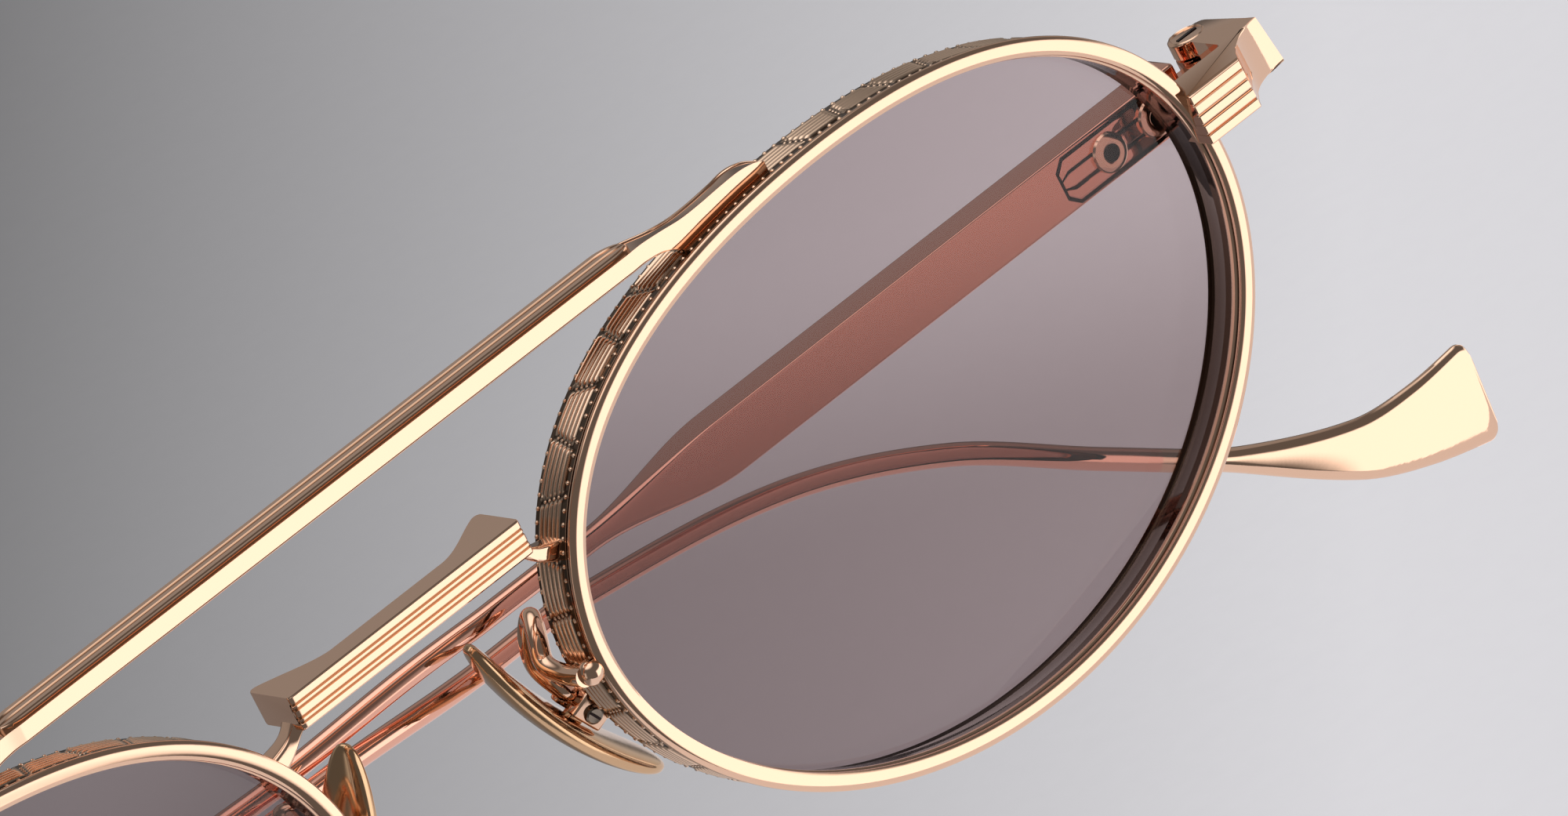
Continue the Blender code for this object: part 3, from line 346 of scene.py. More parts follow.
def make_piece(
    part: str, look: str, shells: list[Shell], finishes: "list[Metal | TintedGlass]",
    side: Side | None = None, sharp: float = 32.0,
) -> bpy.types.Object:
    """A finished piece that stands for a CAD node and rides on its body.

    Args:
        part: The node's name, without its side.
        look: The word that the piece's name adds to the node's.
        shells: The piece's skins, those of the left where it has a side.
        finishes: One finish for all the skins, or one for each.
        side: The side that the piece is on, or None in the middle.
        sharp: Angle in degrees above which an edge isn't smoothed.

    Returns:
        The new object.
    """
    stands_for = part
    if side is not None:
        stands_for = f"{side.hand}_{part}"
        shells = [shell.sided(side) for shell in shells]
    name = f"{stands_for}_{look}"
    base = np.cumsum([0] + [len(shell.points) for shell in shells])[:-1]
    quads = np.concatenate([shell.quads + b for shell, b in zip(shells, base)])
    tris = np.concatenate([shell.tris + b for shell, b in zip(shells, base)])
    points = np.concatenate([shell.points for shell in shells]) * MM
    loops = np.concatenate([quads.ravel(), tris.ravel()]).astype(np.int32)
    starts = np.concatenate([np.arange(len(quads)) * 4, quads.size + np.arange(len(tris)) * 3])
    kinds = list(dict.fromkeys(finishes))
    chosen = np.broadcast_to([kinds.index(finish) for finish in finishes], len(shells))
    by_face = [np.repeat(chosen, [len(faces) for faces in group])
               for group in ([shell.quads for shell in shells], [shell.tris for shell in shells])]
    mesh = bpy.data.meshes.new(name)
    for items, key, values in (
        (mesh.vertices, "co", points.ravel()), (mesh.loops, "vertex_index", loops),
        (mesh.polygons, "loop_start", starts.astype(np.int32)),
    ):
        items.add(len(points) if key == "co" else len(values))
        items.foreach_set(key, values)
    for kind in kinds:
        mesh.materials.append(kind.make())
    mesh.polygons.foreach_set("material_index", np.concatenate(by_face).astype(np.int32))
    mesh.update(calc_edges=True)
    recess = np.concatenate([shell.recess for shell in shells]).astype(np.float32)
    mesh.attributes.new("recess", "FLOAT", "POINT").data.foreach_set("value", recess)
    mesh.shade_smooth()
    mesh.set_sharp_from_angle(angle=math.radians(sharp))
    made = bpy.data.objects.new(name, mesh)
    bpy.context.scene.collection.objects.link(made)
    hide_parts(stands_for)
    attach(made, body_of(bpy.data.objects[stands_for])[0])
    LOG.info("%s: %d faces for %s", name, len(starts), stands_for)
    return made


def node(
    tree: bpy.types.NodeTree, kind: str, inputs: dict | None = None, **settings: object,
) -> bpy.types.Node:
    """A new node.

    Args:
        tree: The nodes that it joins.
        kind: Its type.
        inputs: For each input, the socket that feeds it or its plain value.
        **settings: The node's own settings.

    Returns:
        The node.
    """
    made = tree.nodes.new(kind)
    for label, setting in settings.items():
        setattr(made, label, setting)
    for key, value in (inputs or {}).items():
        if isinstance(value, Socket):
            tree.links.new(value, made.inputs[key])
        else:
            made.inputs[key].default_value = value
    return made


def calc(tree: bpy.types.NodeTree, operation: str, *values: Socket | float, clamp: bool = False) -> Socket:
    """The result of a math node on sockets or plain numbers."""
    made = node(tree, "ShaderNodeMath", dict(enumerate(values)), operation=operation, use_clamp=clamp)
    return made.outputs[0]


def noise(tree: bpy.types.NodeTree, at: Socket, scale: Socket | float, detail: float) -> Socket:
    """The value of a cloudy noise at a place."""
    return node(tree, "ShaderNodeTexNoise", {"Vector": at, "Scale": scale, "Detail": detail}).outputs["Fac"]


def feed(tree: bpy.types.NodeTree, target: bpy.types.Node, links: dict[str, Socket]) -> None:
    """Links sockets to the named inputs of a node that is there already."""
    for label, socket in links.items():
        tree.links.new(socket, target.inputs[label])


@cache
def worked_metal() -> bpy.types.NodeTree:
    """The look of worked metal: colour darkened in grooves as painted shade, patchy polish, and fine bumps.

    Colour = mix(metal, dark, recess mask and a little cloudy noise): the mask paints shade into grooves, and
    the noise is a random stain. Roughness runs between two values with slow noise and with short scratches.
    Height is fine noise for a bump.

    Returns:
        The node group, with named inputs and outputs.
    """
    tree = bpy.data.node_groups.new("worked_metal", "ShaderNodeTree")
    for label, kind, value in (
        ("Metal", "Color", (1, 1, 1, 1)), ("Dark", "Color", (0, 0, 0, 1)), ("Smooth", "Float", 0.05),
        ("Rough", "Float", 0.15), ("Grain", "Float", 900.0), ("Cloud", "Float", 90.0),
    ):
        made = tree.interface.new_socket(label, in_out="INPUT", socket_type="NodeSocket" + kind)
        made.default_value = value
    for label, kind in (("Color", "Color"), ("Roughness", "Float"), ("Height", "Float")):
        tree.interface.new_socket(label, in_out="OUTPUT", socket_type="NodeSocket" + kind)
    given = node(tree, "NodeGroupInput").outputs
    place = node(tree, "ShaderNodeTexCoord").outputs["Object"]
    cloud = noise(tree, place, given["Cloud"], 3.0)
    stretched = node(tree, "ShaderNodeMapping", {"Vector": place, "Scale": (0.25, 1.0, 1.0)})
    grain = noise(tree, stretched.outputs["Vector"], given["Grain"], 4.0)
    # The recess mask darkens grooves as painted shade; the cloudy stain below is a random tone.
    mask = node(tree, "ShaderNodeAttribute", attribute_name="recess").outputs["Fac"]
    stain = node(tree, "ShaderNodeMapRange", {
        "Value": cloud, "From Min": 0.62, "From Max": 0.9, "To Max": 0.06,
    })
    dark = calc(tree, "ADD", mask, stain.outputs["Result"], clamp=True)
    colour = node(
        tree, "ShaderNodeMix", {"Factor": dark, "A": given["Metal"], "B": given["Dark"]}, data_type="RGBA",
    )
    patchy = calc(tree, "MULTIPLY_ADD", grain, 0.35, calc(tree, "MULTIPLY", cloud, 0.65))
    rough = node(tree, "ShaderNodeMapRange", {
        "Value": patchy, "From Min": 0.35, "From Max": 0.75,
        "To Min": given["Smooth"], "To Max": given["Rough"],
    })
    feed(tree, node(tree, "NodeGroupOutput"), {
        "Color": colour.outputs["Result"], "Roughness": rough.outputs["Result"], "Height": grain,
    })
    return tree


@dataclass(frozen=True)
class Metal:
    """A metal finish: its colour, the dark of its painted groove shade and random stains, its range of
    roughness and its fine bumps.
    """

    name: str
    colour: Numbers = (0.95, 0.62, 0.44)
    # dark: the painted shade of grooves and slots, and also the tone of the random stains.
    dark: Numbers = (0.40, 0.15, 0.035)
    smooth: float = 0.035
    rough: float = 0.085
    grain: float = 1400.0
    cloud: float = 70.0
    bump: float = 0.015

    @cache
    def make(self) -> bpy.types.Material:
        """The worked metal group with this finish's own values, made once.

        Returns:
            The material.
        """
        made = bpy.data.materials.new(self.name)
        made.use_nodes = True
        tree = made.node_tree
        shader = tree.nodes["Principled BSDF"]
        shader.inputs["Metallic"].default_value = 1.0
        group = node(tree, "ShaderNodeGroup", node_tree=worked_metal())
        for label, value in (
            ("Metal", (*self.colour, 1.0)), ("Dark", (*self.dark, 1.0)), ("Smooth", self.smooth),
            ("Rough", self.rough), ("Grain", self.grain), ("Cloud", self.cloud),
        ):
            group.inputs[label].default_value = value
        bump = node(tree, "ShaderNodeBump", {
            "Strength": self.bump, "Distance": 0.0002, "Height": group.outputs["Height"],
        })
        feed(tree, shader, {
            "Base Color": group.outputs["Color"], "Roughness": group.outputs["Roughness"],
            "Normal": bump.outputs["Normal"],
        })
        return made


@dataclass(frozen=True)
class TintedGlass:
    """A see-through mauve tint, lighter towards the outer top of the lens as a painted sheen and darker low
    down as painted shade.
    """

    name: str = "mauve_tint"
    # deep is painted shade low on the lens, light a painted sheen at its outer top.
    deep: Numbers = (0.40, 0.315, 0.32)
    light: Numbers = (0.66, 0.55, 0.56)
    low: float = -6.0
    high: float = 12.0
    lean: float = 0.36
    middle: float = 34.2
    index: float = 1.3

    @cache
    def make(self) -> bpy.types.Material:
        """A tint that is a ramp over z + lean (|x| - middle) in Object coordinates, made once.

        Returns:
            The material.
        """
        made = bpy.data.materials.new(self.name)
        made.use_nodes = True
        tree = made.node_tree
        shader = tree.nodes["Principled BSDF"]
        glass = {"Transmission Weight": 1.0, "Metallic": 0.0, "Roughness": 0.0, "IOR": self.index}
        for label, value in glass.items():
            shader.inputs[label].default_value = value
        place = node(tree, "ShaderNodeTexCoord").outputs["Object"]
        x, _, z = node(tree, "ShaderNodeSeparateXYZ", {"Vector": place}).outputs
        outwards = calc(tree, "ABSOLUTE", x)
        outwards = calc(tree, "MULTIPLY_ADD", outwards, self.lean, -self.lean * self.middle * MM)
        # The ramp from deep to light paints shade low on the lens and a sheen at its outer top.
        ramp = node(tree, "ShaderNodeMapRange", {
            "Value": calc(tree, "ADD", outwards, z), "From Min": self.low * MM, "From Max": self.high * MM,
        }, interpolation_type="SMOOTHSTEP")
        mix = node(tree, "ShaderNodeMix", {
            "Factor": ramp.outputs["Result"], "A": (*self.deep, 1.0), "B": (*self.light, 1.0),
        }, data_type="RGBA")
        feed(tree, shader, {"Base Color": mix.outputs["Result"]})
        return made


# Each finish's dark colour is the painted shade in its grooves, slots and hollows.
POLISHED = Metal("polished_rose_gold")
RIM_GOLD = Metal("polished_rim_gold", dark=(0.07, 0.036, 0.02))
ROSE = Metal("temple_rose_gold", colour=(0.95, 0.50, 0.37), dark=(0.03, 0.016, 0.012), rough=0.06, bump=0.004)
BRIGHT = Metal("bright_screw_gold", dark=(0.03, 0.02, 0.015), smooth=0.08, rough=0.16, cloud=200.0)
# The engraved band and its beads; its near-black dark is painted shade in the engraving's valleys.
BAND_GOLD = Metal(
    "engraved_band_gold", colour=(0.95, 0.68, 0.50), dark=(0.045, 0.025, 0.015), smooth=0.14, rough=0.26,
)
STEEL = Metal("dark_screw_steel", colour=(0.30, 0.24, 0.19), dark=(0.03, 0.02, 0.02), smooth=0.2, rough=0.32)
PAD_GOLD = Metal("pad_olive_gold", colour=(0.72, 0.46, 0.27), smooth=0.10, rough=0.20, cloud=160.0)
TINT = TintedGlass()


@dataclass
class Oval:
    """The oval of a rim, measured on the crest of its bezel, and its place in the front."""

    half_width: float = 24.9
    half_height: float = 17.36
    egg: float = 0.56
    lean: float = -0.06
    corners: float = -0.12
    centre: float = 34.2
    wrap: float = math.radians(3.3)

    def place(self, angle: Array | float, outwards: Array | float, depth: Array | float) -> Array:
        """Points of the left rim.

        The oval is an ellipse swollen along its normal by egg sin 3a + lean cos 3a + corners cos 4a,
        turned by the wrap so that its outer end goes back.

        Args:
            angle: Angle round the oval, from its outer end upwards.
            outwards: Distance out from the crest, in the plane of the rim.
            depth: Distance behind the crest.

        Returns:
            Points, with the shape of the three arrays spread together.
        """
        angle, outwards, depth = np.broadcast_arrays(angle, outwards, depth)
        normal = unit(np.stack([np.cos(angle) / self.half_width, np.sin(angle) / self.half_height], -1))
        swell = self.egg * np.sin(3 * angle) + self.lean * np.cos(3 * angle)
        swell = swell + self.corners * np.cos(4 * angle)
        across = self.half_width * np.cos(angle) + (swell + outwards) * normal[..., 0]
        height = self.half_height * np.sin(angle) + (swell + outwards) * normal[..., 1]
        c, s = math.cos(self.wrap), math.sin(self.wrap)
        return np.stack([self.centre + across * c - depth * s, across * s + depth * c, height], -1)

    def even(self, count: int, outwards: float = 0.3) -> Array:
        """Angles whose points lie at even distances round the oval, from the summed lengths of fine steps.

        Args:
            count: How many angles are wanted.
            outwards: How far out from the crest the distances are measured.

        Returns:
            The angles, in radians.
        """
        fine = np.linspace(0, 2 * np.pi, 4001)
        steps = np.linalg.norm(np.diff(self.place(fine, outwards, 0.0), axis=0), axis=1)
        walked = np.concatenate([[0], np.cumsum(steps)])
        return np.interp(np.arange(count) / count * walked[-1], walked, fine)

    def normals(self, angle: Array) -> Array:
        """Directions straight out of the rim's side."""
        return unit(self.place(angle, 1.0, 0.0) - self.place(angle, 0.0, 0.0))


@dataclass
class Rim:
    """A rim: crowned polished bezel, bead groove, engraved side band and the wall around the lens."""

    oval: Oval
    bezel: float = 0.50
    bezel_thick: float = 0.60
    crown_out: float = 0.15
    crown_in: float = 0.105
    wall_in: float = 0.52
    groove_floor: float = 0.10
    band_floor: float = 0.24
    band_out: float = 0.30
    band_front: float = 0.95
    depth: float = 3.80
    beads: int = 178
    bead_radius: float = 0.17
    bead_sink: float = 0.11
    joint_bead: float = 0.8
    ridges: int = 5
    ridge_height: float = 0.12
    ridge_front: float = 1.42
    ridge_back: float = 3.36
    panel: float = 3.3
    panel_gap: float = 0.34
    stagger: float = 0.28
    inner_lip: Table = (
        (-0.55, -0.90), (-0.61, -0.80), (-0.63, -0.68), (-0.61, -0.56), (-0.54, -0.49), (-0.44, -0.46),
        (-0.38, -0.41), (-0.40, -0.34), (-0.48, -0.31), (-0.53, -0.27), (-0.54, -0.20),
    )

    def body(self) -> Shell:
        """The rim without its engraving: a rounded profile of (outwards, forward) carried round the oval.

        The bezel's crown falls by crown |2 o|^3 at a distance o from its crest.

        Returns:
            The closed skin.
        """
        o = np.linspace(-self.bezel, self.bezel, 9)
        crown = np.stack([o, -np.where(o > 0, self.crown_out, self.crown_in) * np.abs(2 * o) ** 3], -1)
        lip, back = -self.bezel_thick, -self.depth
        rest = [
            [0.54, -0.21], [0.555, -0.29], [0.54, -0.38], [0.49, -0.47], [0.40, lip + 0.05],
            [0.14, lip - 0.02], [self.groove_floor, lip - 0.10],
            [self.groove_floor, -self.band_front + 0.03],
            [self.band_floor, -self.band_front], [self.band_floor, back + 0.10], [0.14, back], [-0.42, back],
            [-self.wall_in, back + 0.10], [-self.wall_in, -1.00],
        ]
        profile = np.concatenate([crown, rest, self.inner_lip])
        out, forward = profile.T
        rows = self.oval.place(self.oval.even(480)[:, None], out[None], -forward[None])
        # Painted shade: the groove behind the bezel, the crease under the inner lip and the wall round the
        # lens are coloured dark.
        groove = (out < 0.2) & (out > 0.0) & (forward < -0.6)
        seam = (out < -0.37) & (out > -0.45) & (np.abs(forward + 0.40) < 0.08)
        inner_wall = (out < -0.41) & (forward < -0.93)
        deep = (groove | seam | inner_wall).astype(float)
        return skin(rows, ring=True, recess=np.broadcast_to(deep, rows.shape[:2]))

    def girth(self) -> float:
        """Length of the side band round the oval."""
        fine = self.oval.place(np.linspace(0, 2 * np.pi, 2001), self.band_out, 0.0)
        return float(np.linalg.norm(np.diff(fine, axis=0), axis=1).sum())

    def lean(self, depth: Array) -> Array:
        """How far a joint between two panels has leant aside at a depth."""
        return self.stagger * (depth - (self.ridge_front + self.ridge_back) / 2)

    def joints(self, depth: Array) -> tuple[Array, float]:
        """Where the panels of the engraving meet, as distances round the oval.

        Joint k stands at k / count of the girth, with lean(depth) added and taken away by turns.

        Args:
            depth: Depths at which the joints are wanted.

        Returns:
            The distances, joints by depths, and the girth.
        """
        girth = self.girth()
        count = int(round(girth / self.panel))
        count += count % 2
        k = np.arange(count)[:, None]
        return k * girth / count + np.where(k % 2 == 0, 1, -1) * self.lean(depth)[None, :], girth

    def band(self) -> Shell:
        """The engraved side band.

        Out from the band's floor stands ridge_height |sin(pi n v)|, where v runs across the ridges, times
        a window that dips where two panels meet. Every other panel has its ridges half a pitch aside.

        Returns:
            A thin closed strip.
        """
        steps = self.beads * 6
        angle = self.oval.even(steps, self.band_out)
        depth = np.concatenate([
            [self.band_front, self.band_front + 0.05, self.ridge_front - 0.05],
            np.linspace(self.ridge_front, self.ridge_back, self.ridges * 6 + 1),
            [self.ridge_back + 0.05, self.depth - 0.09, self.depth - 0.02],
        ])
        joints, girth = self.joints(depth)
        walked = (np.arange(steps) / steps * girth)[:, None]
        away = np.abs((walked[..., None] - joints[None] + girth / 2) % girth - girth / 2).min(1)
        window = ease(away / self.panel_gap - 0.15)
        panel = np.floor(walked / girth * len(joints)).astype(int)
        start = np.where(panel % 2 == 0, 1, -1) * self.lean(depth)
        panel = np.floor((walked - start) / girth * len(joints)).astype(int)
        share = (depth - self.ridge_front) / (self.ridge_back - self.ridge_front)
        inside = (share >= 0) & (share <= 1)
        wave = np.abs(np.sin(np.pi * (self.ridges * share[None, :] + 0.5 * (panel % 2))))
        height = self.ridge_height * wave * window * inside
        edge = np.where((depth < self.band_front + 0.02) | (depth > self.depth - 0.05), -0.05, 0.0)
        outer = self.oval.place(angle[:, None], self.band_out - 0.05 + height + edge, depth[None, :])
        under = np.array([[self.depth - 0.1, self.band_front + 0.1]])
        inner = self.oval.place(angle[:, None], 0.12, under)
        # Painted shade: the valleys between ridges darken by their depth, and the flat edges and the strip
        # underneath are dark.
        recess = np.where(inside[None, :], np.clip(1.0 - 3.6 * height / self.ridge_height, 0, 1), 0.9)
        recess = np.concatenate([recess, np.ones((steps, 2))], 1)
        return skin(np.concatenate([outer, inner], 1), ring=True, recess=recess)

    def beadwork(self) -> Shell:
        """Two rows of round beads along the band's edges, and four across each place where panels meet.

        Returns:
            All the beads as one skin.
        """
        profile = np.array([[1.0, -0.35], [1.0, 0.0], [0.78, 0.62], [0.36, 0.93]])
        dome = turned(profile * self.bead_radius, 8)
        angle = self.oval.even(self.beads, self.band_out)
        edges = (self.band_front + 0.23, self.depth - 0.22)
        rows = [self.seats(angle, np.full(len(angle), at)) for at in edges]
        pitch = (self.ridge_back - self.ridge_front) / self.ridges
        across = (self.ridge_front + self.ridge_back) / 2 + pitch * np.array([-1.5, -0.5, 0.5, 1.5])
        joints, girth = self.joints(across)
        fine = self.oval.even(4000, self.band_out)
        at = np.interp((joints.ravel() % girth) / girth, np.arange(4000) / 4000, fine)
        rows.append(self.seats(at, np.tile(across, len(joints))))
        places, axes = (np.concatenate(part) for part in zip(*rows))
        size = np.concatenate([np.ones(2 * self.beads), np.full(len(at), self.joint_bead)])
        return copies(dome, places, axes * size[:, None, None])

    def seats(self, angle: Array, depth: Array) -> tuple[Array, Array]:
        """Where beads stand on the band, their Z straight out of it.

        Args:
            angle: Angle of each bead round the oval.
            depth: Depth of each bead.

        Returns:
            The beads' places, and matrices whose columns are their axes.
        """
        out = self.oval.normals(angle)
        back = unit(self.oval.place(angle, 0.0, 1.0) - self.oval.place(angle, 0.0, 0.0))
        axes = np.stack([np.cross(back, out), back, out], -1)
        return self.oval.place(angle, self.band_out - self.bead_sink, depth), axes

    def build(self, side: Side) -> None:
        """The whole rim of one side."""
        shells = [self.body(), self.band(), self.beadwork()]
        make_piece("rim", "engraved", shells, [RIM_GOLD, BAND_GOLD, BAND_GOLD], side)


@dataclass
class Lens:
    """A crowned lens with a flat polished edge against the rim's wall."""

    oval: Oval
    inset: float = 0.46
    front: float = 1.50
    thick: float = 1.60
    sag: float = 1.20
    rings: int = 26

    def build(self, side: Side) -> None:
        """One lens: each face stands forward by sag (1 - s^2), where s runs from its middle to its edge.

        Args:
            side: The lens's side.
        """
        share = np.concatenate([[0.02], np.linspace(0, 1, self.rings)[1:]])
        share = np.concatenate([share, share[::-1]])[:, None]
        face = np.repeat([self.front, self.front + self.thick], self.rings)[:, None]
        edge = self.oval.place(self.oval.even(200, 0.0)[None, :], -self.inset, 0.0)
        middle = np.array([self.oval.centre, 0.0, 0.0])
        depth = face - self.sag * (1 - share**2)
        back = np.array([-math.sin(self.oval.wrap), math.cos(self.oval.wrap), 0.0])
        rows = middle + (edge - middle) * share[..., None] + depth[..., None] * back
        make_piece("lens", "tinted", [skin(rows)], [TINT], side, sharp=40)


@dataclass
class BrowBar:
    """Straight bar with a grooved cap on top, and a wing at each end that sweeps back onto its rim.

    A station of the wing gives x, the front's y, the top's z, the back's y and the bottom's z. A corner
    of the section gives its share of the depth and of the height, then how far from it in y and z its
    curve starts and ends. The bottom ones are rounded. The top ones stick out as thin lips, upwards
    at the front and backwards at the back, and the top between them falls by 0.1 towards the back.
    """

    shelf: float = 18.40
    cap: float = 18.66
    cap_end: float = 23.5
    cap_middle: float = 1.6
    cap_nose: float = 1.7
    wing: Table = (
        (22.6, 0.50, 18.42, 3.30, 17.40), (23.8, 0.58, 18.41, 2.60, 17.38), (25.2, 0.64, 18.28, 2.00, 17.10),
        (26.7, 0.69, 18.11, 1.95, 16.20), (28.2, 0.76, 18.09, 2.00, 16.10), (29.9, 0.85, 18.14, 2.15, 16.30),
        (31.4, 0.94, 18.12, 2.50, 16.50), (32.5, 1.00, 17.92, 2.40, 16.60), (33.1, 1.06, 17.64, 2.00, 16.70),
    )
    corners: Table = (
        (0, 0, 0.0, 0.06, 0.06, 0.0), (0, 1, 0.0, 0.06, 0.06, 0.0),
        (1, 1, 0.0, -0.10, 0.10, 0.0), (1, 0, 0.0, 0.10, -0.10, 0.0),
    )

    def blade(self) -> Shell:
        """The bar itself: a four-cornered section of (y, z) carried along X through the wing's stations.

        Returns:
            The closed skin.
        """
        stations = np.array(self.wing)
        start, end = stations[0, 0], stations[-1, 0]
        x = np.concatenate([np.linspace(0, start, 12)[:-1], np.linspace(start, end, 60)])
        sizes = np.concatenate([np.broadcast_to(stations[0, 1:], (11, 4)), through(stations, x[11:])])
        x = np.concatenate([-x[::-1], x[1:]])
        front, top, back, bottom = np.concatenate([sizes[::-1], sizes[1:]])[:, None].transpose(2, 0, 1)
        share_y, share_z, *shifts = np.array(self.corners).T
        corner = np.stack([front + share_y * (back - front), bottom + share_z * (top - bottom)], -1)
        begin, finish = (corner + np.stack(pair, -1) for pair in (shifts[:2], shifts[2:]))
        section = corner_curve(begin, corner, finish, 4).reshape(len(x), -1, 2)
        x = np.broadcast_to(x[:, None, None], (*section.shape[:2], 1))
        return skin(np.concatenate([x, section], -1))

    def capping(self) -> Shell:
        """The grooved cap: a stepped profile of (y, z) carried along X, its ends rounded in plan.

        Returns:
            The closed skin.
        """
        z, dip, foot = self.cap, self.cap - 0.12, self.shelf - 0.1
        profile = np.array([
            [0.80, foot], [0.80, z - 0.06], [0.84, z], [0.95, z + 0.02], [1.04, z], [1.08, dip], [1.20, dip],
            [1.26, z], [1.62, z], [1.70, dip + 0.05], [1.90, dip + 0.05], [1.98, z], [2.34, z],
            [2.42, dip + 0.05], [2.66, dip + 0.05], [2.74, z], [3.10, z], [3.26, z - 0.10], [3.26, foot],
        ])
        turn, straight = np.linspace(0, np.pi / 2, 14), self.cap_end - self.cap_nose
        x = np.concatenate([np.linspace(0, straight, 10)[:-1], straight + self.cap_nose * np.sin(turn)])
        width = np.concatenate([np.ones(9), np.maximum(np.cos(turn), 0.02)])
        x, width = np.concatenate([-x[::-1], x[1:]]), np.concatenate([width[::-1], width[1:]])
        y = self.cap_middle + (profile[None, :, 0] - self.cap_middle) * width[:, None]
        lift = foot + (profile[None, :, 1] - self.shelf + 0.1) * np.minimum(width * 3, 1)[:, None]
        # Painted shade in the cap's grooves.
        deep = np.broadcast_to((profile[:, 1] < z - 0.04) & (profile[:, 1] > self.shelf), y.shape)
        return skin(np.stack([np.broadcast_to(x[:, None], y.shape), y, lift], -1), recess=0.6 * deep)

    def build(self) -> None:
        """The bar with its cap and both wings."""
        make_piece("brow_bar", "polished", [self.blade(), self.capping()], [POLISHED], sharp=24)


@dataclass
class Bridge:
    """Fluted plate with a concave back, and a bent bracket from each end to its rim."""

    half: float = 8.63
    top: float = 10.80
    height: float = 2.10
    front: float = -1.10
    waist: float = 1.80
    ends: float = 4.30
    waist_half: float = 4.2
    corner: float = 0.60
    edge: float = 0.08
    grooves: Numbers = (0.52, 0.83, 1.36, 1.65)
    groove_deep: float = 0.11
    groove_half: float = 0.075
    bracket_path: Table = (
        (0, 7.9, 0.5, 9.4), (0.35, 8.6, 0.45, 8.6), (0.7, 9.5, 0.6, 7.8), (1, 11.2, 0.9, 7.1),
    )

    def plate(self) -> Shell:
        """The plate: a ring of (y, z) carried along X, with four grooves in its front.

        Its back goes out towards the ends by the mean of share^1.35 and the smooth step of share.

        Returns:
            The closed skin.
        """
        drop = np.concatenate([
            [0.0, 0.02, 0.06], np.linspace(0.10, self.height - 0.10, 90), [self.height - 0.04, self.height],
        ])
        away = np.abs(drop[:, None] - np.array(self.grooves)).min(1)
        cut = np.clip(1 - (away / self.groove_half) ** 2, 0, 1) ** 0.5
        soft = self.edge * (2 - ease(drop / 0.10) - ease((self.height - drop) / 0.10))
        turn = np.linspace(0, np.pi / 2, 12)
        straight = self.half - self.corner
        x = np.concatenate([np.linspace(0, straight, 50)[:-1], self.half - self.corner * (1 - np.sin(turn))])
        drawn = np.concatenate([np.zeros(49), self.corner * (1 - np.cos(turn))])
        x, drawn = np.concatenate([-x[::-1], x[1:]]), np.concatenate([drawn[::-1], drawn[1:]])[:, None]
        share = np.clip((np.abs(x) - self.waist_half) / (self.half - self.waist_half), 0, 1)
        flare = 0.5 * (share**1.35 + ease(share))[:, None]
        front = self.front + self.groove_deep * cut + soft + 0.2 * (drawn / self.corner) ** 2
        pull = np.array([self.edge, 0.0, 0.0, self.edge])
        back = self.front + self.waist + flare * (self.ends - self.waist) - drawn - pull
        levels = np.concatenate([drop, [self.height, self.height - self.edge, self.edge, 0.0]])
        y = np.concatenate([front, back], 1)
        # Painted shade in the front's grooves, by their depth.
        recess = np.broadcast_to(np.concatenate([0.75 * cut, np.zeros(4)]), y.shape)
        z = np.broadcast_to(self.top - levels, y.shape)
        return skin(np.stack([np.broadcast_to(x[:, None], y.shape), y, z], -1), recess=recess)

    def bracket(self) -> Shell:
        """A waisted bracket: a rounded rectangle carried from the plate's end into the rim's side band.

        Returns:
            The closed skin of the left side.
        """
        share = np.linspace(0, 1, 24)
        x, y, z = through(self.bracket_path, share)[:, None].transpose(2, 0, 1)
        waist = ((2 * share - 1) ** 2)[:, None]
        ring = rounded(np.array([[-1.0, -1], [-1, 1], [1, 1], [1, -1]]), 0.45, 5)
        y = y + (0.62 + 0.38 * waist) * ring[:, 0]
        z = z + (0.50 + 0.25 * waist) * ring[:, 1]
        return skin(np.stack([np.broadcast_to(x, y.shape), y, z], -1))

    def build(self) -> None:
        """The bridge with both brackets."""
        bracket = self.bracket()
        make_piece("bridge", "fluted", [self.plate(), bracket, bracket.sided(Side.RIGHT)], [POLISHED])


@dataclass
class Hinge:
    """Sizes of a hinge that the end piece, the screw, the leaf and the temple share."""

    x: float = 63.8
    y: float = 7.6033
    z: float = 3.70
    knuckle: float = 1.20
    slot_half: float = 0.65
    half: float = 1.60
    blade_y: float = 6.0033
    blade_z: float = 3.52


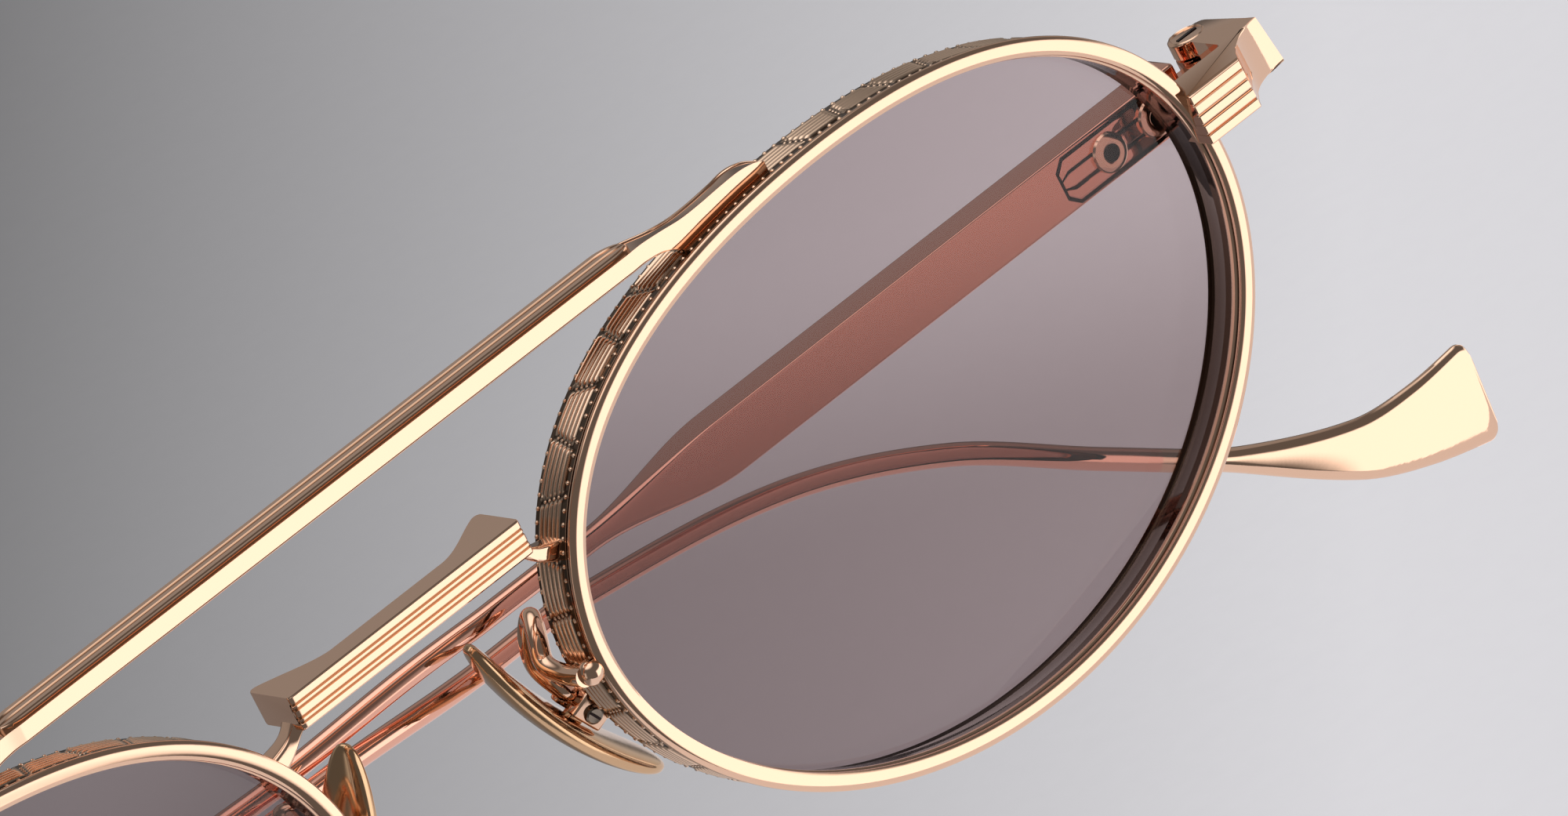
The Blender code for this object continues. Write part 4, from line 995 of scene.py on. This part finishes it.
@dataclass
class EndPiece:
    """Lug at the outer end of a rim: fluted front, swept outer block, and two outer knuckles."""

    hinge: Hinge
    inner: float = 58.3
    fluted: float = 3.8
    front: float = 0.60
    outer: float = 66.1
    block_y: float = 3.86
    back: float = 3.70
    top: float = 5.30
    height: float = 3.20
    ridges: int = 5
    scallop: float = 0.16
    cove: float = 0.6
    neck: float = 63.2
    swing: float = 1.33
    lean: float = 0.45
    edge: float = 0.10
    inset_middle: Numbers = (63.2, 3.6)
    full_cheek: Table = ((65.95, 4.5), (65.42, 7.8), (65.34, 8.0), (65.20, 8.14), (65.02, 8.24))
    slotted_cheek: Table = ((65.95, 4.5), (65.42, 7.8), (65.36, 8.0), (65.24, 8.06), (65.15, 7.98))

    def outline(self, slotted: bool) -> Array:
        """The lug in plan: fluted front, hollow sweep to the block, cheek, then the knuckle or its slot.

        The sweep goes out by cove (1 - cos t) + (1 - cove) sin t of its width while it goes back by sin t.

        Args:
            slotted: True at the height of the slot, where the middle knuckle swings.

        Returns:
            Points in X and Y, from the nose side of the front.
        """
        h, start = self.hinge, self.inner + 0.06
        turn = np.linspace(0, np.pi / 2, 24)
        end = self.inner + self.fluted
        run = self.cove * (1 - np.cos(turn)) + (1 - self.cove) * np.sin(turn)
        depth = self.front + (self.block_y - self.front) * np.sin(turn)
        sweep = np.stack([end + (self.outer - end) * run, depth], -1)
        flat = np.stack([np.linspace(start, end, 12)[:-1], np.full(11, self.front)], -1)
        if slotted:
            bend, radius, cheek = np.linspace(0, -np.pi / 2, 14), self.swing, self.slotted_cheek
        else:
            bend, radius, cheek = np.radians(np.linspace(35, 240, 30)), h.knuckle, self.full_cheek
        knuckle = np.stack([h.x + radius * np.cos(bend), h.y + radius * np.sin(bend)], -1)
        rest = [
            [self.neck, h.y - self.swing], [self.neck, self.back + 0.25], [self.neck - 0.2, self.back],
            [start, self.back], [self.inner, self.back - 0.06], [self.inner, self.front + 0.06],
        ]
        return np.concatenate([flat, sweep, cheek, knuckle, rest])

    def layer(self, low: float, high: float, slotted: bool = False) -> Shell:
        """A stretch of the lug's height, its front scalloped and its outer side leaning out downwards.

        The front lies at front + scallop |2 f - 1|^9, where f is the share of the height within one
        ridge, so that five flat ridges stand between thin grooves.

        Args:
            low: Height of its underside.
            high: Height of its top.
            slotted: True at the height of the slot.

        Returns:
            The closed skin of the left side.
        """
        outline = self.outline(slotted)
        bottom = self.top - self.height
        rings = [bottom + 0.03, bottom + 0.08, self.top - 0.08, self.top - 0.03]
        z = np.linspace(low, high, int((high - low) / 0.04) + 2)
        z = np.unique(np.concatenate([z, [ring for ring in rings if low < ring < high]]))
        inset = self.edge * np.clip(1 - np.minimum(z - bottom, self.top - z) / self.edge, 0, 1) ** 2
        within = ((z - bottom) / self.height * self.ridges) % 1.0
        depth = np.abs(2 * within - 1) ** 9
        fade = np.zeros(len(outline))
        fade[:12], fade[-1] = 1.0, 1.0
        away = outline - self.inset_middle
        plan = outline[None] - np.sign(away) * np.minimum(inset[:, None, None], np.abs(away)[None])
        lean = self.lean * ((self.top - z) / self.height)[:, None]
        x = plan[..., 0] + lean * ease((plan[..., 0] - self.hinge.x + 0.2) / 2.0)
        y = plan[..., 1] + self.scallop * depth[:, None] * fade
        # Painted shade in the grooves between the front's ridges.
        recess = 0.8 * depth[:, None] ** 2 * fade
        return slab(np.stack([x, y, np.broadcast_to(z[:, None], y.shape)], -1), recess)

    def build(self, side: Side) -> None:
        """The end piece of one side: full layers under and over the slot, and a slotted one between them.

        Args:
            side: The end piece's side.
        """
        low, high = self.hinge.z - self.hinge.slot_half, self.hinge.z + self.hinge.slot_half
        shells = [
            self.layer(self.top - self.height, low),
            self.layer(low, high, slotted=True),
            self.layer(high, self.top),
        ]
        make_piece("end_piece", "polished", shells, [POLISHED], side, sharp=24)


@dataclass
class Screws:
    """The slotted and ring-headed screws of one side."""

    hinge: Hinge
    leaf_screws: Numbers = (5.45, 9.0)
    rim_screw: Numbers = (61.0, 2.15, 2.43)
    seat: Table = ((0.86, 0.0), (0.90, 0.27), (0.99, 0.34), (1.08, 0.30), (1.12, 0.0))
    ringed: Table = (
        (0.10, 0.10), (0.46, 0.10), (0.52, 0.44), (0.66, 0.50), (0.88, 0.48), (1.08, 0.36), (1.16, 0.20),
        (1.13, 0.05), (0.42, 0.02), (0.40, -1.5),
    )

    def slotted(self, radius: float, height: float, shank: float, length: float) -> list[Shell]:
        """A slotted head with a rounded rim on its shank. The slot is a bar let into the head, coloured dark
        all over as painted shade.

        Args:
            radius: The head's radius.
            height: The head's height.
            shank: The shank's radius.
            length: The shank's length.

        Returns:
            The two skins.
        """
        head = turned((
            (radius * 0.16, height * 0.80), (radius * 0.80, height), (radius * 0.95, height * 0.9),
            (radius, height * 0.65), (radius, 0.0), (shank, -0.02), (shank, -length),
        ))
        slot = block((radius * 1.7, radius * 0.28, 0.10), 0.02)
        return [head, slot.sunk().moved(UPRIGHT, np.array([0, 0, height * 0.98]))]

    def build(self, side: Side) -> None:
        """All the screws of one side, each over its own node.

        Args:
            side: The screws' side.
        """
        h = self.hinge
        place = np.array([h.x, h.y, h.z + h.half - 0.30])
        parts = (*self.slotted(0.84, 0.30, 0.45, 2.6), turned(self.seat))
        shells = [shell.moved(UPRIGHT, place) for shell in parts]
        make_piece("hinge_screw", "slotted", shells, [STEEL, STEEL, BRIGHT], side)
        down, place = np.diag([1.0, -1.0, -1.0]), np.array(self.rim_screw)
        shells = [shell.moved(down, place) for shell in self.slotted(0.70, 0.28, 0.35, 1.7)]
        make_piece("rim_screw", "slotted", shells, [STEEL], side)
        forward = np.array([[1.0, 0, 0], [0, 0, -1.0], [0, 1.0, 0]])
        screw = turned(self.ringed)
        # Painted shade in the hollow of the ringed head.
        screw.recess = ((np.hypot(*screw.points.T[:2]) < 0.5) & (screw.points[:, 2] > 0.05)).astype(float)
        for number, along in enumerate(self.leaf_screws, 1):
            place = np.array([h.x - along, h.blade_y, h.blade_z])
            make_piece(f"leaf_screw_{number}", "ringed", [screw.moved(forward, place)], [BRIGHT], side)


@dataclass
class Temple:
    """A temple: flat blade, taper, round rod bent for the ear, and a flat paddle.

    Lengths along it are measured from the hinge. The bow gives where it starts, its run and its reach.
    """

    hinge: Hinge
    blade_start: float = 2.5
    taper: Numbers = (38.0, 48.0)
    blade: Numbers = (2.5, 3.35)
    blade_corner: float = 0.20
    rod: float = 0.675
    rod_y: float = 7.2533
    bow: Numbers = (56.0, 22.0, 2.2)
    paddle: Numbers = (118.0, 134.7)
    paddle_soft: float = 0.1
    paddle_height: float = 6.3
    paddle_thick: float = 1.2
    paddle_corner: float = 0.42
    finish_change: float = 4.0
    tip_round: float = 0.8
    tip_in: float = 1.3
    tip_bend: Numbers = (113.0, 14.0)
    slope_left: float = 0.004
    slope_right: float = -0.028
    ear: Table = (
        (48.0, 3.52), (60.0, 3.42), (70.0, 2.75), (80.0, 2.45), (93.0, 0.45), (103.0, -3.6),
        (111.6, -9.4), (119.0, -14.2), (126.0, -17.9), (130.5, -19.0), (136.0, -19.4),
    )

    def stations(self) -> Array:
        """Where along the temple its section is worked out, closer together where it changes.

        Returns:
            Distances from the hinge.
        """
        start, end = self.blade_start, self.paddle[1]
        return np.concatenate([
            [start, start + 0.03, start + 0.12],
            np.linspace(start + 0.3, self.taper[0], 40),
            np.linspace(*self.taper, 60)[1:],
            np.linspace(self.taper[1], self.paddle[0], 120)[1:],
            np.linspace(self.paddle[0], end - 0.9, 70)[1:],
            end - self.tip_round * (1 - np.sin(np.linspace(0, np.pi / 2, 9))),
        ])

    def tapered(self, along: Array) -> Array:
        """How far the blade has turned into the rod, from 0 to 1."""
        return ease((along - self.taper[0]) / (self.taper[1] - self.taper[0]))

    def centres(self, side: Side, along: Array) -> Array:
        """Middle line: straight to the taper, then through the ear bend, past the other blade.

        It steps out by reach times its share of the bow's run, and its tip bends in by a smooth step.

        Args:
            side: The temple's side, which sets its slope.
            along: Distances along the temple.

        Returns:
            Points of the left side.
        """
        taper = self.tapered(along)
        slope = self.slope_left if side is Side.LEFT else self.slope_right
        rod = through(self.ear, np.maximum(along, self.ear[0][0]))[:, 0] + slope * along
        start, run, reach = self.bow
        bow = reach * np.clip((along - start) / run, 0, 1)
        dip = self.tip_in * ease((along - self.tip_bend[0]) / self.tip_bend[1])
        z = (1 - taper) * self.hinge.blade_z + taper * rod
        return np.stack([self.hinge.x - along, self.rod_y + bow - dip, z], -1)

    def section(self, along: Array) -> tuple[Array, Array]:
        """Outlines across the temple: a rectangle with rounded corners that runs from blade to rod to paddle.

        On the paddle the faces swell to half_y (1 - (z / half_z)^2)^0.4, and its tip is drawn in round.

        Args:
            along: Distances along the temple.

        Returns:
            How far each point lies to the outside and upwards, distances by points round the outline.
        """
        taper = self.tapered(along)
        share = np.clip((along - self.paddle[0]) / (self.paddle[1] - self.paddle[0]), 0, 1)
        widen = share**2 * (1 + self.paddle_soft) / (share + self.paddle_soft)
        half_y, half_z, radius = (
            blade * (1 - taper) + self.rod * (taper - widen) + paddle * widen
            for blade, paddle in (
                (self.blade[0] / 2, self.paddle_thick / 2), (self.blade[1] / 2, self.paddle_height / 2),
                (self.blade_corner, self.paddle_corner),
            )
        )
        radius = np.minimum(radius, np.minimum(half_y, half_z) * 0.999)[:, None]
        tip = np.clip((along - self.paddle[1] + self.tip_round) / self.tip_round, 0, 1)
        half_z = half_z - self.tip_round * (1 - np.sqrt(1 - tip**2))
        half_y, half_z = half_y[:, None], half_z[:, None]
        turn = np.concatenate([np.linspace(a, a + np.pi / 2, 7) for a in (0, np.pi / 2, np.pi, 1.5 * np.pi)])
        quarter = np.repeat(np.array([[1, 1], [-1, 1], [-1, -1], [1, -1]]), 7, 0)
        across = quarter[:, 0] * (half_y - radius) + radius * np.cos(turn)
        height = quarter[:, 1] * (half_z - radius) + radius * np.sin(turn)
        pillow = ease(share * 5)[:, None]
        swell = np.sqrt(1 - np.minimum(np.abs(height) / half_z, 0.995) ** 2)
        across = across * (1 - pillow) + pillow * half_y * np.sign(across) * swell**0.8
        drawn = np.ones((len(along), 1))
        drawn[:3, 0] = 0.93, 0.975, 0.995
        drawn[-3:, 0] = 0.97, 0.88, 0.62
        return across * drawn, height * drawn

    def build(self, side: Side) -> None:
        """One temple: its outlines carried along its middle line, rose up to the paddle's neck, then gold.

        Args:
            side: The temple's side.
        """
        along = self.stations()
        centre = self.centres(side, along)
        across, height = self.section(along)
        ahead = unit(np.gradient(centre, axis=0))
        sideways = np.array([0.0, 1.0, 0.0])
        sideways = unit(sideways - ahead * (ahead @ sideways)[:, None])
        upright = unit(np.cross(sideways, ahead))
        upright *= np.sign(upright[:, 2:])
        rows = centre[:, None] + across[..., None] * sideways[:, None] + height[..., None] * upright[:, None]
        split = int(np.searchsorted(along, self.paddle[0] - self.finish_change))
        shells = [skin(rows[:split + 1]), skin(rows[split:])]
        make_piece("temple", "polished", shells, [ROSE, POLISHED], side, sharp=40)


@dataclass
class Leaf:
    """Hinge leaf let into the temple's inner face, with the middle knuckle of the hinge."""

    hinge: Hinge
    neck: float = 3.9
    tip: float = 12.4
    bevel: float = 0.6
    height: float = 2.7
    seam: float = 0.14
    groove_at: float = 0.36
    groove_deep: float = 0.12
    knuckle: Table = ((1.02, 0.5), (1.14, 0.47), (1.18, 0.40), (1.18, -0.40), (1.14, -0.47), (1.02, -0.5))

    def build(self, side: Side) -> None:
        """One leaf: a plate with a bevelled tip and two grooves, a seam of painted shade and a round knuckle.

        A groove is groove_deep exp(-((|s| - groove_at) / 0.06)^2) deep, where s runs across the face.

        Args:
            side: The leaf's side.
        """
        h, half = self.hinge, self.height / 2
        along = np.array([self.neck - 0.5, self.neck, self.tip - self.bevel, self.tip - 0.02, self.tip])
        half = np.array([half, half, half, half - self.bevel, half - self.bevel - 0.02])[:, None]
        share = np.linspace(-1, 1, 41)
        groove = np.exp(-(((np.abs(share) - self.groove_at) / 0.06) ** 2))
        face = -0.06 + self.groove_deep * groove + 0.10 * np.abs(share) ** 14
        z = h.blade_z + half * np.concatenate([share, [1.0, -1.0]])
        y = np.broadcast_to(h.blade_y + np.concatenate([face, [0.8, 0.8]]), z.shape)
        x = np.broadcast_to((h.x - along)[:, None], z.shape)
        # Painted shade in the two grooves.
        recess = np.broadcast_to(np.concatenate([0.8 * groove, [0, 0]]), z.shape)
        plate = skin(np.stack([x, y, z], -1), recess=recess)
        knuckle = turned(self.knuckle).moved(UPRIGHT, np.array([h.x, h.y, h.z]))
        reach = block((4.6, 0.72, 0.98), 0.06).moved(UPRIGHT, np.array([h.x - 2.3, h.blade_y + 0.42, h.z]))
        # The seam is a thin sheet round the leaf, coloured dark all over as painted shade in the gap.
        seam_z = h.blade_z + (half + self.seam) * np.array([-1.0, 1.0, 1.0, -1.0])
        seam_x = (h.x - along - self.seam * np.array([0.0, 0.0, 0.4, 1.0, 1.1]))[:, None]
        seam_y = h.blade_y + np.array([-0.02, -0.02, 0.5, 0.5])
        seam = skin(np.stack([*np.broadcast_arrays(seam_x, seam_y, seam_z)], -1)).sunk()
        make_piece("hinge_leaf", "grooved", [plate, knuckle, reach, seam], [ROSE], side)


@dataclass
class Pad:
    """Nose pad of crowned metal with its tab, its box and screw, and the wire arm that carries them."""

    centre: Numbers = (7.75, 4.9, -2.56)
    long_way: Numbers = (0.52, 0.13, -0.85)
    deep_way: Numbers = (0.2, 0.94, 0.26)
    length: float = 15.8
    width: float = 4.8
    thick: float = 1.45
    crown: float = 1.1
    taper: float = 0.25
    box_out: float = 1.9
    box_down: float = 1.0
    screw_drop: float = 0.2
    screw_out: float = 1.28
    arm_radius: float = 0.58
    ball: float = 0.75
    ball_out: float = 0.46
    screw: Table = ((0.10, 0.26), (0.42, 0.30), (0.53, 0.24), (0.55, 0.0), (0.26, -0.02), (0.26, -2.6))
    bends: Table = (
        (7.90, -0.90, 0.95), (7.90, 1.10, 0.95), (7.95, 2.70, 1.45), (8.60, 3.40, 2.60), (9.30, 4.30, 3.25),
        (9.50, 5.05, 3.00), (9.05, 5.40, 1.90), (8.75, 5.35, 0.40),
    )

    def axes(self) -> Array:
        """Frame of the pad: its length downwards, its width backwards, and away from the nose.

        Returns:
            A matrix whose columns are the three directions.
        """
        along, back = unit(np.array(self.long_way)), unit(np.array(self.deep_way))
        out = unit(np.cross(along, back))
        return np.stack([along, unit(back - along * (along @ back)), out], -1)

    def pad(self) -> Shell:
        """The pad: a crowned oval that thins towards its rim.

        Along its length s its half width goes as (1 - s^2)^0.42 (1 + taper s) and its thickness as
        (1 - s^2)^0.3, and it bends by crown s^2.

        Returns:
            The closed skin.
        """
        share = np.clip(np.sin(np.linspace(-np.pi / 2, np.pi / 2, 60)), -0.9985, 0.9985)[:, None]
        half = self.width / 2 * (1 - share**2) ** 0.42 * (1 + self.taper * share)
        turn = np.linspace(0, 2 * np.pi, 40, endpoint=False)
        across = half * np.sign(np.cos(turn)) * np.abs(np.cos(turn)) ** 0.8
        body = np.where(np.sin(turn) > 0, 0.6, 0.4) * np.sign(np.sin(turn)) * np.abs(np.sin(turn)) ** 0.7
        lift = self.crown * share**2 + self.thick * (1 - share**2) ** 0.3 * body
        along = np.broadcast_to(share * self.length / 2, lift.shape)
        return skin(np.stack([along, across, lift], -1)).moved(self.axes(), np.array(self.centre))

    def arm(self, end: Array, down: Array) -> list[Shell]:
        """The bent wire from the rim to the box, and the ball of solder at its root.

        Args:
            end: Where the wire ends in the box.
            down: The direction in which it goes in.

        Returns:
            The two skins.
        """
        knots = np.concatenate([self.bends, [end - down * 0.9], [end]])
        steps = np.arange(len(knots))[:, None]
        path = through(np.concatenate([steps, knots], 1), np.linspace(0, len(knots) - 1, 120))
        turn = np.linspace(0.02, np.pi - 0.02, 24)
        ball = turned(self.ball * np.stack([np.sin(turn), np.cos(turn)], -1), 32)
        root = np.array(self.bends[0]) + [self.ball_out, 0, 0]
        return [tube(path, self.arm_radius, (1.0, 0.05, 0.02)), ball.moved(UPRIGHT, root)]

    def build(self, side: Side) -> None:
        """The pad, its box, its screw and its arm on one side.

        Args:
            side: The pad's side.
        """
        axes = self.axes()
        down, back, out = axes.T
        box_at = np.array(self.centre) + out * self.box_out + down * self.box_down
        tab = block((1.0, 0.8, 2.2), 0.08).moved(axes, box_at - out * 0.9)
        make_piece("nose_pad", "crowned", [self.pad(), tab], [PAD_GOLD], side, sharp=50)
        box = [block((2.2, 0.75, 1.8), 0.14).moved(axes, box_at + back * shift) for shift in (-0.92, 0.92)]
        box.append(block((2.2, 2.5, 0.5), 0.14).moved(axes, box_at + out * 0.65))
        make_piece("pad_box", "forked", box, [BRIGHT], side)
        forward = np.stack([down, out, -back], -1)
        place = box_at - out * self.screw_drop - back * self.screw_out
        # The slot is a bar coloured dark all over as painted shade.
        slot = block((0.85, 0.15, 0.10), 0.02).sunk().moved(UPRIGHT, np.array([0, 0, 0.28]))
        shells = [shell.moved(forward, place) for shell in (turned(self.screw), slot)]
        make_piece("pad_screw", "slotted", shells, [STEEL], side)
        make_piece("pad_arm", "wire", self.arm(box_at - down, down), [POLISHED], side, sharp=50)


@dataclass
class Card:
    """A soft lit patch of the studio, in degrees of the direction in which it is seen."""

    azimuth: float
    elevation: float
    width: float
    height: float
    strength: float
    soft: float


@dataclass
class Studio:
    """Floor, lamp, world and camera. Its lengths are in metres, but for the eye."""

    floor_z: float = -0.8
    floor_box: Numbers = (-1.4, 2.8, -0.9, 3.6)
    floor_glow: float = 0.7
    shade_way: Numbers = (0.784, -0.621, 0.0)
    shade_ends: Numbers = (-0.5023, -0.2621)
    shade_dark: Numbers = (0.176, 0.174, 0.180)
    shade_pale: Numbers = (0.589, 0.584, 0.610)
    eye: Numbers = (-491.03, -983.75, 443.05)
    azimuth: float = -26.525
    elevation: float = 21.948
    roll: float = -27.558
    focal_pixels: float = 27980.0
    principal: Numbers = (610.5, 985.3)
    picture: tuple[int, int] = (2000, 1041)
    sky: float = 0.12
    backdrop: float = 0.90
    lamp_size: float = 0.8
    lamp_watts: float = 6.0
    lamp_place: Numbers = (-0.2, -0.3, 1.6)
    lamp_turn: Numbers = (-0.18, -0.12, 0.0)
    cards: tuple[Card, ...] = (
        Card(56, -18, 92, 60, 1.42, 12.0),
        Card(150, 26, 140, 46, 0.17, 14.0),
        Card(60, 80, 360, 66, 1.15, 22.0),
        Card(112, -14, 46, 50, 0.45, 14.0),
        Card(-88, 6, 40, 50, 0.40, 12.0),
    )

    def camera(self) -> None:
        """The camera: its pinhole, turn and shift are those of the reference view."""
        az, el, roll = map(math.radians, (self.azimuth, self.elevation, self.roll))
        back = np.array([math.sin(az) * math.cos(el), -math.cos(az) * math.cos(el), math.sin(el)])
        level = unit(np.cross([0, 0, 1.0], back))
        upright = np.cross(back, level)
        data = bpy.data.cameras.new("camera")
        width, height = self.picture
        data.sensor_width = 36.0
        data.lens = 36.0 * self.focal_pixels / width
        data.shift_x = (width / 2 - self.principal[0]) / width
        data.shift_y = (self.principal[1] - height / 2) / width
        data.clip_start, data.clip_end = 0.05, 50.0
        made = bpy.data.objects.new("camera", data)
        matrix = np.eye(4)
        matrix[:3, 0] = math.cos(roll) * level + math.sin(roll) * upright
        matrix[:3, 1] = -math.sin(roll) * level + math.cos(roll) * upright
        matrix[:3, 2] = back
        matrix[:3, 3] = np.array(self.eye) * MM
        made.matrix_world = matrix.T
        bpy.context.scene.collection.objects.link(made)
        bpy.context.scene.camera = made

    def floor(self) -> None:
        """A pale floor whose level falls evenly towards the left of the reference view."""
        mesh = bpy.data.meshes.new("floor")
        x0, x1, y0, y1 = self.floor_box
        corners = [(x, y, self.floor_z) for x, y in ((x0, y0), (x1, y0), (x1, y1), (x0, y1))]
        mesh.from_pydata(corners, [], [(0, 1, 2, 3)])
        made = bpy.data.objects.new("floor", mesh)
        bpy.context.scene.collection.objects.link(made)
        material = bpy.data.materials.new("floor_paper")
        material.use_nodes = True
        mesh.materials.append(material)
        self.paper(material.node_tree)

    def paper(self, tree: bpy.types.NodeTree) -> None:
        """The floor's nodes: a shade by the place along shade_way, a fine speck, and a glow.

        The glow is only seen directly, mirrored or through glass, so that it lights nothing.

        Args:
            tree: The nodes of the floor's material.
        """
        shader = tree.nodes["Principled BSDF"]
        shader.inputs["Roughness"].default_value = 0.9
        shader.inputs["Specular IOR Level"].default_value = 0.1
        place = node(tree, "ShaderNodeTexCoord").outputs["Object"]
        grain = noise(tree, place, 220.0, 2.0)
        dot = node(tree, "ShaderNodeVectorMath", {0: place, 1: self.shade_way}, operation="DOT_PRODUCT")
        ramp = node(tree, "ShaderNodeMapRange", {
            "Value": dot.outputs["Value"], "From Min": self.shade_ends[0], "From Max": self.shade_ends[1],
        })
        mix = node(tree, "ShaderNodeMix", {
            "Factor": ramp.outputs["Result"], "A": (*self.shade_dark, 1), "B": (*self.shade_pale, 1),
        }, data_type="RGBA")
        speck = node(tree, "ShaderNodeMapRange", {"Value": grain, "To Min": 0.985, "To Max": 1.015})
        toned = node(tree, "ShaderNodeVectorMath", {
            0: mix.outputs["Result"], "Scale": speck.outputs["Result"],
        }, operation="SCALE").outputs["Vector"]
        rays = node(tree, "ShaderNodeLightPath").outputs
        seen = calc(tree, "MAXIMUM", rays["Is Camera Ray"], rays["Is Glossy Ray"])
        seen = calc(tree, "MAXIMUM", seen, rays["Is Transmission Ray"])
        glow = calc(tree, "MULTIPLY", seen, self.floor_glow)
        feed(tree, shader, {"Base Color": toned, "Emission Color": toned, "Emission Strength": glow})

    def world(self) -> None:
        """Soft studio light by direction: a dim sky plus lit patches, each a product of two smooth steps.

        Azimuth is atan2(x, -y) and elevation asin(z) of the direction looked in. The camera and the
        light through the lenses see a plain pale backdrop.
        """
        world = bpy.data.worlds.new("studio")
        bpy.context.scene.world = world
        world.use_nodes = True
        tree = world.node_tree
        place = node(tree, "ShaderNodeTexCoord").outputs["Object"]
        x, y, z = node(tree, "ShaderNodeSeparateXYZ", {"Vector": place}).outputs
        turn = calc(tree, "ARCTAN2", x, calc(tree, "MULTIPLY", y, -1.0))
        rise = calc(tree, "ARCSINE", z)
        light = self.sky
        for card in self.cards:
            light = calc(tree, "ADD", self.patch(tree, card, turn, rise), light)
        rays = node(tree, "ShaderNodeLightPath").outputs
        seen = calc(tree, "MAXIMUM", rays["Is Camera Ray"], rays["Is Transmission Ray"])
        level = node(tree, "ShaderNodeMix", {
            "Factor": seen, "A": light, "B": self.backdrop,
        }, data_type="FLOAT")
        background = tree.nodes["Background"]
        feed(tree, background, {"Strength": level.outputs["Result"]})
        background.inputs["Color"].default_value = (1.0, 0.985, 0.97, 1.0)

    def patch(self, tree: bpy.types.NodeTree, card: Card, turn: Socket, rise: Socket) -> Socket:
        """Nodes for one lit patch: smooth step of azimuth times smooth step of elevation times strength.

        Args:
            tree: The world's nodes.
            card: The patch.
            turn: Azimuth, in radians.
            rise: Elevation, in radians.

        Returns:
            The socket that carries the patch's light.
        """
        light = card.strength
        for value, middle, size in ((turn, card.azimuth, card.width), (rise, card.elevation, card.height)):
            away = calc(tree, "SUBTRACT", value, math.radians(middle))
            away = calc(tree, "ABSOLUTE", calc(tree, "WRAP", away, math.pi, -math.pi))
            step = node(tree, "ShaderNodeMapRange", {
                "Value": away, "From Min": math.radians(size / 2),
                "From Max": math.radians(size / 2 - card.soft),
            }, interpolation_type="SMOOTHSTEP")
            light = calc(tree, "MULTIPLY", step.outputs["Result"], light)
        return light

    def lamp(self) -> None:
        """One large overhead softbox, for the soft shadow on the floor."""
        data = bpy.data.lights.new("overhead_softbox", "AREA")
        data.shape = "RECTANGLE"
        data.size = data.size_y = self.lamp_size
        data.energy = self.lamp_watts
        made = bpy.data.objects.new("overhead_softbox", data)
        made.location, made.rotation_euler = self.lamp_place, self.lamp_turn
        made.visible_camera = made.visible_glossy = False
        bpy.context.scene.collection.objects.link(made)

    def build(self) -> None:
        """The whole studio, and a plain view transform."""
        self.camera()
        self.floor()
        self.world()
        self.lamp()
        bpy.context.scene.view_settings.view_transform = "Standard"


def main() -> None:
    """Loads the frame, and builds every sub-assembly in order."""
    logging.basicConfig(level=logging.INFO, format="%(message)s")
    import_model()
    Studio().build()
    oval, hinge = Oval(), Hinge()
    for side in Side:
        front = (Rim(oval), Lens(oval), EndPiece(hinge), Screws(hinge))
        for part in (*front, Leaf(hinge), Temple(hinge), Pad()):
            part.build(side)
    BrowBar().build()
    Bridge().build()


if __name__ == "__main__":
    main()
